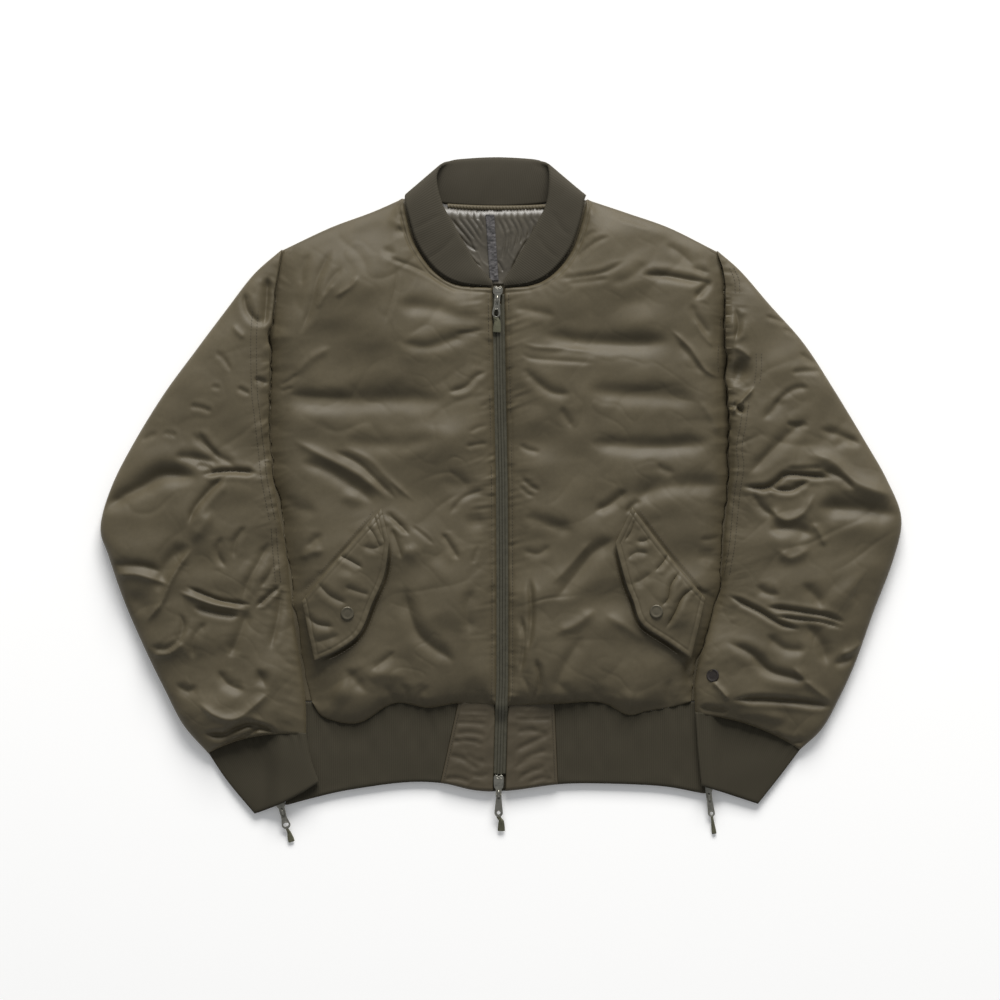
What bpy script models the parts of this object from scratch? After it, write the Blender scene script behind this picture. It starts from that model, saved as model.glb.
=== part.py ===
"""Padded nylon bomber jacket, laid flat on its back with the front zip closed.

Metres. +X runs to the wearer's left, +Y towards the collar, +Z up out of the front. The origin is
under the middle of the jacket's box, on the surface that it lies on. Tables are in millimetres.
"""

import math

import bmesh
import bpy
import numpy as np
from mathutils import Matrix, Vector
from mathutils.bvhtree import BVHTree

MM = 0.001
GAP = 0.4  # between neighbouring pieces
SLEEVE_GAP = 0.8  # between the body's seam and the sleeve

# Padded cloth, laid down: heights above the surface.
BACK_TOP = 11.0  # back panel, flat on top where the fronts lie on it
BACK_EDGE = 4.5  # its underside at the rounded edge
FRONT_LOW = BACK_TOP + GAP
FRONT_EDGE = 3.4  # thickness of a front at its border
FRONT_CROWN = 15.5  # how much more it is in the middle
CROWN_REACH = 24.0  # distance over which a padded panel rises
SLEEVE_EDGE = 7.0  # height of a sleeve's folded edge
SLEEVE_WALL = 10.0  # padding round the flattened hollow of a sleeve
SLIT = 2.6  # height of that hollow

# Knitted rib and trim.
RIB = 3.6
HEM_BACK = (0.2, 0.2 + RIB)
HEM_FRONT = (HEM_BACK[1] + GAP, HEM_BACK[1] + GAP + RIB)
FACING_TOP = HEM_FRONT[1] + 1.2
CUFF_OVER_HEM = HEM_FRONT[1] + 0.8
CUFF_THICK = 2 * RIB + 1.0
BODY_HEM_Y = -226.0  # seam between the body and the hem rib
LINING_THICK = 1.6
FLAP_LIFT = 1.7
FLAP_THICK = 2.6

# Seam between the body and each sleeve, from the hem up to the shoulder point: x, y.
RIGHT_SEAM = (
    (-213, -226), (-222, -186), (-230, -138), (-236, -90), (-243, -38), (-254, 24),
    (-260, 75), (-259, 131), (-258, 192), (-253, 240), (-245, 281.5),
)
LEFT_SEAM = (
    (214, -226), (219, -186), (231, -143), (245, -100), (249, -42), (254, 10),
    (256, 75), (253, 131), (252, 192), (252, 245), (242, 280),
)
# Shoulders, from the armhole to the neck: x, y.
RIGHT_SHOULDER = ((-245, 281.5), (-192, 306.5), (-145, 324), (-111, 339))
LEFT_SHOULDER = ((242, 280), (190, 306), (145, 322), (97, 338))
# Neck seam of each front, from the shoulder to the zip: x, y.
RIGHT_NECK = ((-111, 339), (-106, 317), (-97, 288), (-76, 258.5), (-50, 243), (-10, 239))
LEFT_NECK = ((97, 338), (90, 309), (79, 279), (58, 254), (35, 242.5), (4, 239))
BACK_NECK = ((-111, 339), (-60, 328.5), (-6, 327), (48, 330), (97, 338))
# Lower edge of each front, where it blouses over the rib, from the side to the zip: x, y.
RIGHT_BLOUSE = (
    (-213, -226), (-198, -244), (-160, -250), (-120, -228), (-82, -233), (-48, -228), (-5, -230),
)
LEFT_BLOUSE = (
    (214, -226), (192, -232), (163, -237), (142, -241), (111, -227), (60, -229), (8.5, -231),
)
# Middle of the front zip, from its top to its bottom end: x, y.
ZIP_LINE = ((-3, 239), (-1, 120), (1, 23), (1.6, -90), (1.5, -202), (-2, -326))
ZIP_HALF = 7.0  # half the opening between the fronts
CHAIN_HALF = 3.0
CHAIN_ENDS = (-307.6, 220.6)  # where the chain meets the two sliders
TAPE_TOP_Y = 229.6
ZIP_DROP = (-252.0, -228.0)  # where the zip steps down from the fronts to the hem band
# Bottom edge of the hem rib, from the wearer's right to left: x, y.
HEM_BOTTOM = (
    (-240, -342), (-206, -333), (-172, -325.5), (-111, -317), (-68, -317.5), (-27, -326),
    (10, -326), (64, -319), (111, -318), (180, -321), (226, -329),
)
RIGHT_HEM_SIDE = ((-240, -342), (-220, -281), (-213, -262), (-212, -226.4))
LEFT_HEM_SIDE = ((226, -329), (214, -279), (212, -262), (212, -226.4))
# Satin facings beside the zip on the hem band: x at the seam, x at the bottom.
RIGHT_FACING, LEFT_FACING = (-48.0, -68.0), (60.0, 64.0)

# Sleeve rings from the armhole to the cuff seam. Outer point, inner point, how far the middle of
# the ring bows towards the shoulder, and the sleeve's height there.
# outer_x, outer_y, inner_x, inner_y, bow, height
RIGHT_SLEEVE = (
    (-246.5, 282, -255.2, 24, -9, 26),
    (-278, 254, -252.5, 4, -5, 29),
    (-309, 214, -249.5, -12, 4, 31),
    (-345, 166, -246.5, -28, 14, 32),
    (-379, 119.5, -243.2, -45, 14, 32),
    (-412, 66, -240, -65, 10, 31),
    (-437.5, 16, -238, -85, 4, 31),
    (-450.1, -30, -235.8, -106, 0, 31),
    (-441, -62, -233.4, -126, -4, 31),
    (-423, -114, -230.4, -148, -4, 31),
    (-399, -169, -225.4, -180, 0, 30),
    (-378, -212, -221, -212, 4, 29),
    (-357, -252, -219, -238, 8, 26),
    (-329, -284, -219, -264, 18, 19),
)
LEFT_SLEEVE = (
    (243.5, 280.5, 255.6, 12, -6, 26),
    (270, 257, 254, -8, -4, 29),
    (302, 220, 252, -26, 4, 31),
    (340, 177, 250.6, -42, 14, 32),
    (374, 125, 249.4, -60, 14, 32),
    (409, 67, 248, -80, 10, 31),
    (434, 23, 245.8, -100, 4, 31),
    (450, -20, 241.6, -114, 0, 31),
    (441, -66, 236.4, -130, -4, 31),
    (419, -124, 230.4, -150, -4, 31),
    (399, -180, 222.5, -178, 0, 30),
    (381, -220, 217.5, -206, 4, 29),
    (361, -256, 217.5, -224, 8, 26),
    (336, -280, 218, -240, 14, 19),
)
# Cuff rings from the seam to the open end, with the same columns.
RIGHT_CUFF = (
    (-328, -285, -219, -265.5, 18, 0),
    (-307, -316, -213, -292, 6, 0),
    (-277, -352, -204.5, -316, -3, 0),
)
LEFT_CUFF = (
    (335, -281.5, 218, -241.5, 14, 0),
    (315, -308, 221, -281, 6, 0),
    (289, -341, 225, -320, 0, 0),
)
CUFF_RISE = (28.0, 6.0)  # the cuff lifts on to the hem between these distances outside its side

# Largest folds of the fronts and sleeves, as soft troughs (depth above 0) or ridges.
# x0, y0, x1, y1, width, depth
FOLDS = (
    (-246, 122, -58, 122, 34, 3.0),
    (-112, 220, -22, 220, 26, 2.4),
    (-95, 172, -22, 188, 22, 1.8),
    (-134, 283, -44, 236, 20, 2.6),
    (-187, 283, -223, 194, 24, 2.4),
    (-232, 30, -120, 42, 30, 2.2),
    (-110, -10, -60, -120, 30, 2.0),
    (-190, -190, -70, -196, 30, -3.0),
    (30, 184, 236, 184, 32, 2.6),
    (28, 110, 246, 112, 36, 3.0),
    (30, 30, 232, 10, 34, 2.4),
    (32, -89, 30, -215, 20, 2.6),
    (70, -190, 200, -196, 30, -3.0),
    (150, 290, 232, 232, 24, 2.6),
    (-447, -18, -300, 33, 30, 4.5),
    (-335, 29, -262, 32, 18, 4.0),
    (-313, 20, -362, -45, 24, 2.4),
    (-433, -84, -255, -112, 24, 3.4),
    (-345, -50, -397, -142, 22, -2.6),
    (-350, -226, -232, -234, 24, 3.0),
    (276, 14, 445, -5, 30, 4.5),
    (262, -110, 392, -146, 26, 3.6),
    (350, -226, 232, -210, 24, 3.0),
    (300, 120, 392, 60, 26, 2.0),
)

# Rib collar, as one strip from the zip round the neck and back to it. Edge sewn to the neck, free
# edge, and the height of the strip's middle. Between rows 6 and 7, and 12 and 13, it folds over.
# sewn_x, sewn_y, free_x, free_y, height
COLLAR = (
    (-9, 241.5, -11, 247, 15.2),
    (-48, 245.5, -29, 268, 16.6),
    (-74, 260.5, -40, 287, 17.0),
    (-94, 289, -52, 308, 17.0),
    (-103, 318, -66, 334, 17.0),
    (-107, 334, -72, 362, 14.6),
    (-106, 343, -66, 377, 9.2),
    (-98, 341, -57, 381.5, 3.6),
    (-62, 333.2, -45, 384, 2.1),
    (-6, 330, -5, 386, 2.1),
    (48, 333.5, 34, 384, 2.1),
    (84, 340, 44, 381.5, 3.6),
    (94, 342, 52, 377, 9.2),
    (93, 336.5, 54, 362, 15.4),
    (87, 309, 51, 334, 17.0),
    (76, 281, 38, 307, 17.0),
    (56, 257, 23, 280, 17.0),
    (34, 245.5, 13, 262, 16.6),
    (3, 241.5, 3, 247, 15.2),
)
# Lining seen inside the neck: the edge that follows the neck seam on each side: x, y.
LINING_RIGHT = ((-12, 243.5), (-46, 248.5), (-70, 264), (-88, 292), (-96, 322))
LINING_LEFT = ((6, 243.5), (32, 248.5), (52, 261), (71, 285), (82, 324))

# Pocket flaps: sewn edge from top to bottom, then the free edge from top to bottom: x, y.
RIGHT_FLAP = (
    ((-134, -9), (-160, -40), (-192, -76), (-223, -113)),
    ((-125, -46), (-131, -84), (-144, -115), (-158, -148), (-180, -166), (-209, -180)),
)
LEFT_FLAP = (
    ((147, -8), (170, -39), (196, -72), (229, -110)),
    ((128, -48), (140, -92), (148, -112), (158, -138), (188, -159), (213, -177)),
)
SNAP_RADIUS, SNAP_THICK = 7.5, 2.4
SNAPS = (("snap_right", -172, -126), ("snap_left", 174, -124))
BADGE = (237.5, -196, 7.2, 1.2)  # x, y, radius, thickness

# Sliders, in their own frame: hinge axis along x, pull lying along -y.
SLIDER_THICK, TONGUE_THICK, TONGUE_HALF = 4.6, 2.6, 3.2
BODY_START = 4.6  # from the hinge to the slider's body, past the tongue that carries the bail
BAIL_HALF_X, BAIL_LEG, BAIL_REACH, BAIL_BAR = 1.0, 1.1, 4.4, 1.1
HINGE_HEIGHT = 2.2  # of the pull's axis above the slider
BAIL_HEIGHT = 4.8
PULL_THICK, PULL_NECK, PULL_END = 1.6, 3.4, 4.8  # half widths at the eye and at the ring
EYE_HALF, EYE_LENGTH, CROSSBAR = 1.45, 6.2, 0.8
RING_RADIUS = 2.1
TAIL_THICK = 1.8
# name, x, y and height of the slider's top, heading towards +x, body length and half width,
# pull length and tilt, tail's side step, its top and bottom widths, length and tilt
SLIDERS = (
    ("top", -4.2, 226.0, 17.0, -4, 10, 5.5, 20.5, 4, 2.0, 6.0, 9.0, 17, 4),
    ("bottom", -2.6, -329.0, 10.4, 0, 16, 5.6, 27.0, 12, 3.0, 5.0, 8.0, 17, 15),
    ("side_right", -245.5, -350.0, 6.0, 15, 8, 5.0, 20.0, 10, 1.0, 3.0, 7.0, 16, 10),
    ("side_left", 234.0, -333.0, 6.0, 8, 8, 5.0, 23.0, 9, 0.0, 2.6, 5.0, 20, 8),
)
# Plain zip strips at the sides of the hem band: name, x and y of each end.
SIDE_ZIPS = (
    ("side_zip_right", (-225, -281), (-246, -336)),
    ("side_zip_left", (218.5, -277), (232, -319)),
)
SIDE_ZIP_HALF = 3.2

# colour, roughness, metallic
SATIN = ("satin", (0.096, 0.080, 0.052), 0.38, 0.0)
KNIT = ("rib_knit", (0.052, 0.048, 0.033), 0.85, 0.0)
LINING = ("lining", (0.090, 0.076, 0.056), 0.22, 0.0)
TAPE = ("zip_tape", (0.060, 0.056, 0.038), 0.75, 0.0)
METAL = ("dark_metal", (0.075, 0.072, 0.055), 0.42, 0.9)
CAP = ("snap_cap", (0.085, 0.078, 0.055), 0.45, 0.5)
CORD = ("pull_tail", (0.085, 0.086, 0.050), 0.8, 0.0)
PATCH = ("badge", (0.030, 0.024, 0.020), 0.7, 0.0)

DENSE = 24  # samples in each span of a smooth line


def smooth(points, shares):
    """Catmull-Rom line through the points, read at these shares of its length."""
    points = np.asarray(points, float)
    ends = np.vstack((2 * points[0] - points[1], points, 2 * points[-1] - points[-2]))
    t = np.linspace(0, 1, DENSE, endpoint=False)[:, None]
    spans = []
    for a, b, c, d in zip(ends, ends[1:], ends[2:], ends[3:]):
        bend = (2 * a - 5 * b + 4 * c - d) * t**2 + (3 * b - a - 3 * c + d) * t**3
        spans.append(b + 0.5 * ((c - a) * t + bend))
    line = np.vstack(spans + [points[-1:]])
    run = np.concatenate(([0], np.cumsum(np.linalg.norm(np.diff(line, axis=0), axis=1))))
    return np.column_stack([np.interp(np.asarray(shares) * run[-1], run, c) for c in line.T])


def even(count):
    return np.linspace(0, 1, count + 1)


def eased(count):
    """Shares that crowd towards both ends, where a padded panel curves down."""
    share = even(count)
    return 0.45 * share + 0.55 * (1 - np.cos(np.pi * share)) / 2


def joined(first, second, first_count, second_count):
    """Two smooth lines end to end, with a vertex on the corner between them."""
    return np.vstack((smooth(first, even(first_count)), smooth(second, even(second_count))[1:]))


def coons(bottom, top, start, end):
    """Grid of plan points between four border lines that share their corners."""
    u = even(len(bottom) - 1)[None, :, None]
    v = even(len(start) - 1)[:, None, None]
    across = (1 - v) * bottom[None] + v * top[None]
    along = (1 - u) * start[:, None] + u * end[:, None]
    corners = (1 - v) * ((1 - u) * bottom[0] + u * bottom[-1]) + v * ((1 - u) * top[0] + u * top[-1])
    return across + along - corners


def border_of(plan):
    return np.vstack((plan[0], plan[1:, -1], plan[-1, -2::-1], plan[-2:0:-1, 0]))


def edge_distance(plan, border):
    """Distance in plan from each grid point to the nearest stretch of the border."""
    start, end = border, np.roll(border, -1, axis=0)
    run = end - start
    to = plan[..., None, :] - start
    share = np.clip((to * run).sum(-1) / np.maximum((run * run).sum(-1), 1e-9), 0, 1)
    return np.linalg.norm(to - share[..., None] * run, axis=-1).min(-1)


def fold_height(x, y):
    """Sum of the folds: a rounded trough or ridge along each line, fading out at its ends."""
    total = np.zeros_like(x)
    for x0, y0, x1, y1, width, depth in FOLDS:
        length = math.hypot(x1 - x0, y1 - y0)
        along = ((x - x0) * (x1 - x0) + (y - y0) * (y1 - y0)) / length
        side = ((x - x0) * (y1 - y0) - (y - y0) * (x1 - x0)) / length
        past = np.maximum(np.maximum(-along, along - length), 0)
        total -= depth * np.exp(-((side / (width / 2)) ** 2) - (past / width) ** 2)
    return total


def material(finish):
    name, colour, roughness, metallic = finish
    made = bpy.data.materials.get(name)
    if made is None:
        made = bpy.data.materials.new(name)
        made.use_nodes = True
        shader = made.node_tree.nodes["Principled BSDF"]
        shader.inputs["Base Color"].default_value = (*colour, 1)
        shader.inputs["Roughness"].default_value = roughness
        shader.inputs["Metallic"].default_value = metallic
    return made


def add_object(name, mesh, finish):
    made = bpy.data.objects.new(name, mesh)
    bpy.context.collection.objects.link(made)
    mesh.materials.append(material(finish))
    return made


def mesh_object(name, points, faces, finish):
    mesh = bpy.data.meshes.new(name)
    mesh.from_pydata((np.asarray(points) * MM).tolist(), [], faces)
    return add_object(name, mesh, finish)


def grid_faces(rows, cols, first, wrap=False):
    """Quads of a grid whose points are numbered row by row from first."""
    around = range(cols if wrap else cols - 1)
    return [
        (first + r * cols + c, first + r * cols + (c + 1) % cols,
         first + (r + 1) * cols + (c + 1) % cols, first + (r + 1) * cols + c)
        for r in range(rows - 1) for c in around
    ]


def outward(obj):
    """Turns a closed mesh's faces outwards."""
    work = bmesh.new()
    work.from_mesh(obj.data)
    bmesh.ops.recalc_face_normals(work, faces=work.faces)
    work.to_mesh(obj.data)
    work.free()
    return obj


def slab(name, plan, low, high, finish):
    """Closed wall between a lower and an upper height over one grid of plan points."""
    rows, cols = plan.shape[:2]
    count = rows * cols
    layers = [np.dstack((plan, np.broadcast_to(z, (rows, cols)))).reshape(-1, 3) for z in (low, high)]
    index = np.arange(count).reshape(rows, cols)
    rim = np.concatenate((index[0], index[1:, -1], index[-1, -2::-1], index[-2:0:-1, 0])).tolist()
    faces = [face[::-1] for face in grid_faces(rows, cols, 0)] + grid_faces(rows, cols, count)
    faces += [(a, b, count + b, count + a) for a, b in zip(rim, rim[1:] + rim[:1])]
    return outward(mesh_object(name, np.vstack(layers), faces, finish))


def inset_line(points, shift):
    """A seam's points moved across it, for the gap between the two pieces that it joins."""
    return [(x + shift, y) for x, y in points]


def body_edges(side):
    """Seam, shoulder, neck and lower edge of one half of the body."""
    if side == "right":
        return inset_line(RIGHT_SEAM, GAP / 2), RIGHT_SHOULDER, RIGHT_NECK, RIGHT_BLOUSE
    return inset_line(LEFT_SEAM, -GAP / 2), LEFT_SHOULDER, LEFT_NECK, LEFT_BLOUSE


def zip_x(y):
    line = np.array(ZIP_LINE)[::-1]
    return np.interp(y, line[:, 1], line[:, 0])


def make_back():
    """Back panel: flat underneath and on top, with rounded edges and a shallow neck."""
    count = 12
    shares = eased(count)
    start = smooth(body_edges("right")[0], shares)
    end = smooth(body_edges("left")[0], shares)
    left_shoulder = smooth(LEFT_SHOULDER, even(4))[::-1]
    top = np.vstack((joined(RIGHT_SHOULDER, BACK_NECK, 4, 6), left_shoulder[1:]))
    top[0], top[-1] = start[-1], end[-1]
    across = len(top) - 1
    bottom = np.linspace(start[0], end[0], across + 1)
    plan = coons(bottom, top, start, end)
    edge = edge_distance(plan, border_of(plan))
    rise = BACK_EDGE * np.clip(1 - edge / 10, 0, 1)
    return slab("back_body", plan, rise, np.full(edge.shape, BACK_TOP), SATIN)


def front_height(plan, border):
    """Top of a padded front: it rises from its border and dips along its folds."""
    edge = edge_distance(plan, border)
    swell = 1 - np.exp(-edge / CROWN_REACH)
    over_hem = np.exp(-((plan[..., 1] + 205) / 45) ** 2)
    crown = (FRONT_CROWN + 2 * over_hem) * swell
    return FRONT_LOW + FRONT_EDGE + crown + swell * fold_height(plan[..., 0], plan[..., 1])


def make_front(side):
    """One front, from the side and armhole seam to the zip, with its neck cut out."""
    seam, shoulder, neck, blouse = body_edges(side)
    rows, half = 22, 7
    outer = smooth(seam, eased(rows))
    top = joined(shoulder, neck, half, half)
    bottom = smooth(blouse, even(2 * half))
    toward = -1 if side == "right" else 1
    zip_y = bottom[-1, 1] + eased(rows) * (top[-1, 1] - bottom[-1, 1])
    inner = np.column_stack((zip_x(zip_y) + toward * ZIP_HALF, zip_y))
    top[0], bottom[0], top[-1], bottom[-1] = outer[-1], outer[0], inner[-1], inner[0]
    plan = coons(bottom, top, outer, inner)
    high = front_height(plan, border_of(plan))
    return slab("front_" + side, plan, np.full(high.shape, FRONT_LOW), high, SATIN)


def seam_x(side, y):
    """Where the seam between body and sleeve lies at each height of the jacket."""
    line = smooth(RIGHT_SEAM if side == "right" else LEFT_SEAM, even(80))
    return np.interp(y, line[:, 1], line[:, 0])


def clear_of_body(plan, side):
    """Plan points moved out, where needed, to keep the gap to the body's seam."""
    sign = -1 if side == "right" else 1
    out = np.maximum(sign * plan[:, 0], sign * seam_x(side, plan[:, 1]) + SLEEVE_GAP)
    return np.column_stack((sign * out, plan[:, 1]))


def ring_line(row, share):
    """Plan points across a flattened tube, bowed towards the shoulder in the middle."""
    outer, inner = np.array(row[0:2], float), np.array(row[2:4], float)
    run = inner - outer
    up = np.array((-run[1], run[0])) / np.linalg.norm(run)
    up = up if up[1] > 0 or abs(up[1]) < 0.3 and up[0] * outer[0] < 0 else -up
    share = share[:, None]
    return outer + share * run + 4 * share * (1 - share) * row[4] * up


def in_between(rows, count):
    """Station rows read from smooth lines through the table's rows."""
    rows = np.array(rows, float)
    shares = even(count) * (len(rows) - 1)
    ends = np.vstack((2 * rows[0] - rows[1], rows, 2 * rows[-1] - rows[-2]))
    made = []
    for place in shares:
        span = min(int(place), len(rows) - 2)
        t = place - span
        a, b, c, d = ends[span:span + 4]
        bend = (2 * a - 5 * b + 4 * c - d) * t**2 + (3 * b - a - 3 * c + d) * t**3
        made.append(b + 0.5 * ((c - a) * t + bend))
    return made


def tube(name, outside, inside, finish):
    """Open-ended tube from matching outer and inner rings."""
    rings, around = outside.shape[:2]
    count = rings * around
    faces = grid_faces(rings, around, 0, wrap=True)
    faces += [face[::-1] for face in grid_faces(rings, around, count, wrap=True)]
    for first in (0, count - around):
        ring = [(first + c, first + (c + 1) % around) for c in range(around)]
        faces += [(a, b, count + b, count + a) for a, b in ring]
    points = np.vstack((outside.reshape(-1, 3), inside.reshape(-1, 3)))
    return outward(mesh_object(name, points, faces, finish))


def turns(count):
    return np.arange(count) * 2 * np.pi / count


def make_sleeve(side):
    """Sleeve as a flattened padded tube, open at the armhole and at the cuff seam."""
    around, rings = 24, 22
    angle = turns(around)
    share, lift = (1 - np.cos(angle)) / 2, np.sin(angle)
    outside, inside = [], []
    for row in in_between(RIGHT_SLEEVE if side == "right" else LEFT_SLEEVE, rings):
        width = math.hypot(row[2] - row[0], row[3] - row[1])
        plan = clear_of_body(ring_line(row, share), side)
        swell = np.abs(lift) ** 0.62
        top = SLEEVE_EDGE + (row[5] - SLEEVE_EDGE) * swell + swell * fold_height(plan[:, 0], plan[:, 1])
        low = SLEEVE_EDGE * np.clip(1 - 1.6 * swell, 0, 1)
        outside.append(np.column_stack((plan, np.where(lift >= 0, top, low))))
        inset = SLEEVE_WALL / width
        within = inset + (1 - 2 * inset) * share
        middle = SLEEVE_EDGE + (0.45 * row[5] - SLEEVE_EDGE) * swell
        plan = clear_of_body(ring_line(row, within), side)
        inside.append(np.column_stack((plan, middle + SLIT / 2 * lift)))
    return tube("sleeve_" + side, np.array(outside), np.array(inside), SATIN)


def cuff_lift(x, side):
    """Height of a cuff's underside: it rests on the surface and climbs on to the hem band."""
    hem = RIGHT_HEM_SIDE if side == "right" else LEFT_HEM_SIDE
    outside = np.abs(x) - abs(hem[0][0])
    climb = np.clip((CUFF_RISE[0] - outside) / (CUFF_RISE[0] - CUFF_RISE[1]), 0, 1)
    return 0.3 + (CUFF_OVER_HEM - 0.3) * climb * climb * (3 - 2 * climb)


def make_cuff(side):
    """Rib cuff, a flattened tube that lies partly on the hem band."""
    around, rings = 20, 6
    angle = turns(around)
    share, lift = (1 - np.cos(angle)) / 2, np.sin(angle)
    outside, inside = [], []
    for row in in_between(RIGHT_CUFF if side == "right" else LEFT_CUFF, rings):
        width = math.hypot(row[2] - row[0], row[3] - row[1])
        plan = ring_line(row, share)
        middle = cuff_lift(plan[:, 0], side) + CUFF_THICK / 2
        swell = np.sign(lift) * np.abs(lift) ** 0.3
        outside.append(np.column_stack((plan, middle + CUFF_THICK / 2 * swell)))
        inset = RIB / width
        plan = ring_line(row, inset + (1 - 2 * inset) * share)
        middle = cuff_lift(plan[:, 0], side) + CUFF_THICK / 2
        inside.append(np.column_stack((plan, middle + 0.5 * swell)))
    return tube("cuff_" + side, np.array(outside), np.array(inside), KNIT)


def hem_bottom(x):
    line = smooth(HEM_BOTTOM, even(80))
    return np.interp(x, line[:, 0], line[:, 1])


def band(name, start, end, columns, heights, finish):
    """Piece of the hem band between two side lines, each running from its bottom to the seam."""
    share = even(columns)
    rows = len(start) - 1
    x = start[0, 0] + share * (end[0, 0] - start[0, 0])
    bottom = np.column_stack((x, hem_bottom(x)))
    bottom[0], bottom[-1] = start[0], end[0]
    top = start[-1] + share[:, None] * (end[-1] - start[-1])
    plan = coons(bottom, top, start, end)
    return slab(name, plan, np.full((rows + 1, columns + 1), heights[0]), heights[1], finish)


def make_hem():
    """Rib at the back, rib on each front, and the satin facing beside the zip."""
    share = even(6)
    seam_y = BODY_HEM_Y - GAP
    right, left = smooth(RIGHT_HEM_SIDE, share), smooth(LEFT_HEM_SIDE, share)
    band("hem_rib_back", right, left, 22, HEM_BACK, KNIT)
    for side, outer, facing, sign in (("right", right, RIGHT_FACING, -1), ("left", left, LEFT_FACING, 1)):
        def line(at_seam, at_bottom):
            ends = np.array(((at_bottom, hem_bottom(at_bottom)), (at_seam, seam_y)))
            return ends[0] + share[:, None] * (ends[1] - ends[0])
        rib_edge = line(facing[0] + sign * GAP, facing[1] + sign * GAP)
        zip_edge = [zip_x(y) + sign * ZIP_HALF for y in (seam_y, ZIP_LINE[-1][1])]
        band("hem_rib_" + side, outer, rib_edge, 9, HEM_FRONT, KNIT)
        band("hem_facing_" + side, line(*facing), line(*zip_edge), 3, (HEM_FRONT[0], FACING_TOP), SATIN)


def zip_height(y):
    """Height of the zip's tape: on the back panel, then down to the hem band."""
    climb = np.clip((y - ZIP_DROP[0]) / (ZIP_DROP[1] - ZIP_DROP[0]), 0, 1)
    return 5.2 + (BACK_TOP + 1.2 - 5.2) * climb * climb * (3 - 2 * climb)


def strip(name, low_y, high_y, x0, x1, z0, z1, finish):
    """Strip beside or on the zip's middle line, with heights measured from the tape's."""
    y = np.unique(np.concatenate((np.linspace(low_y, high_y, 10), np.linspace(*ZIP_DROP, 5))))
    y = y[(y >= low_y) & (y <= high_y)]
    middle = zip_x(y)
    plan = np.stack([np.column_stack((middle + x, y)) for x in (x0, x1)], axis=1)
    height = zip_height(y)[:, None] + np.zeros((1, 2))
    slab(name, plan, height + z0, height + z1, finish)


def make_zip():
    """Two tapes and the closed chain between the sliders, and the side strips on the hem band."""
    tape = (CHAIN_HALF + GAP, ZIP_HALF - GAP)
    strip("zip_tape_right", CHAIN_ENDS[0], TAPE_TOP_Y, -tape[1], -tape[0], 0, 1.2, TAPE)
    strip("zip_tape_left", CHAIN_ENDS[0], TAPE_TOP_Y, *tape, 0, 1.2, TAPE)
    strip("zip_chain", *CHAIN_ENDS, -CHAIN_HALF, CHAIN_HALF, -0.4, 2.4, TAPE)
    for name, top, bottom in SIDE_ZIPS:
        top, bottom = np.array(top, float), np.array(bottom, float)
        across = np.array((SIDE_ZIP_HALF, 0))
        rows = top + even(3)[:, None] * (bottom - top)
        plan = np.stack((rows - across, rows + across), axis=1)
        slab(name, plan, np.full(plan.shape[:2], 2.4), 5.4, TAPE)


def make_collar():
    """Rib collar: one strip that folds over at both sides of the neck, given its wall."""
    rows = np.array(in_between(COLLAR, 44))
    share = even(4)[None, :, None]
    sewn = np.column_stack((rows[:, 0:2], rows[:, 4]))[:, None]
    free = np.column_stack((rows[:, 2:4], rows[:, 4]))[:, None]
    middle = sewn + share * (free - sewn)
    points = middle.reshape(-1, 3)
    collar = mesh_object("collar", points, grid_faces(middle.shape[0], middle.shape[1], 0), KNIT)
    wall = collar.modifiers.new("wall", "SOLIDIFY")
    wall.thickness = RIB * MM
    wall.offset = 0
    return collar


def make_lining():
    """Lining that shows inside the neck, its centre seam tape and the neck piping."""
    low = BACK_TOP + GAP
    top_of = low + LINING_THICK
    start, end = smooth(LINING_RIGHT, even(8)), smooth(LINING_LEFT, even(8))
    x = np.linspace(start[-1, 0], end[-1, 0], 9)
    top = np.column_stack((x, 325 + (x / 90) ** 2 * 5 - 1.5))
    start[-1], end[-1] = top[0], top[-1]
    plan = coons(np.linspace(start[0], end[0], 9), top, start, end)
    slab("back_lining", plan, np.full(plan.shape[:2], low), top_of, LINING)
    rows = np.linspace((-7.5, 249), (-12, 318), 7)
    plan = np.stack((rows - (4.5, 0), rows + (4.5, 0)), axis=1)
    slab("lining_tape", plan, np.full(plan.shape[:2], top_of + GAP), top_of + GAP + 1, TAPE)
    x = np.linspace(-57, 44, 9)
    y = 320.6 + (x / 90) ** 2 * 4
    plan = np.stack((np.column_stack((x, y)), np.column_stack((x, y + 3.4))), axis=0)
    slab("neck_piping", plan, np.full(plan.shape[:2], top_of + GAP), top_of + GAP + 2, SATIN)


def surface_of(obj):
    """Function that gives the height of an object's top at a plan point, in millimetres."""
    bpy.context.view_layer.update()
    tree = BVHTree.FromObject(obj, bpy.context.evaluated_depsgraph_get())

    def height(x, y):
        hit = tree.ray_cast(Vector((x * MM, y * MM, 1)), Vector((0, 0, -1)))
        return hit[0].z / MM, hit[1]

    return height


def make_flap(side, front):
    """Pocket flap, lying on its front: its points are the front's own, moved out."""
    sewn, free = RIGHT_FLAP if side == "right" else LEFT_FLAP
    share = even(9)
    edges = (smooth(sewn, share), smooth(free, share))
    top, bottom = (np.linspace(edges[0][i], edges[1][i], 6) for i in (0, -1))
    plan = coons(top, bottom, *edges)
    height = surface_of(front)
    under = np.array([[height(*point)[0] for point in row] for row in plan]) + FLAP_LIFT
    slab("pocket_flap_" + side, plan, under, under + FLAP_THICK, SATIN)
    return bpy.data.objects["pocket_flap_" + side]


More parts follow.
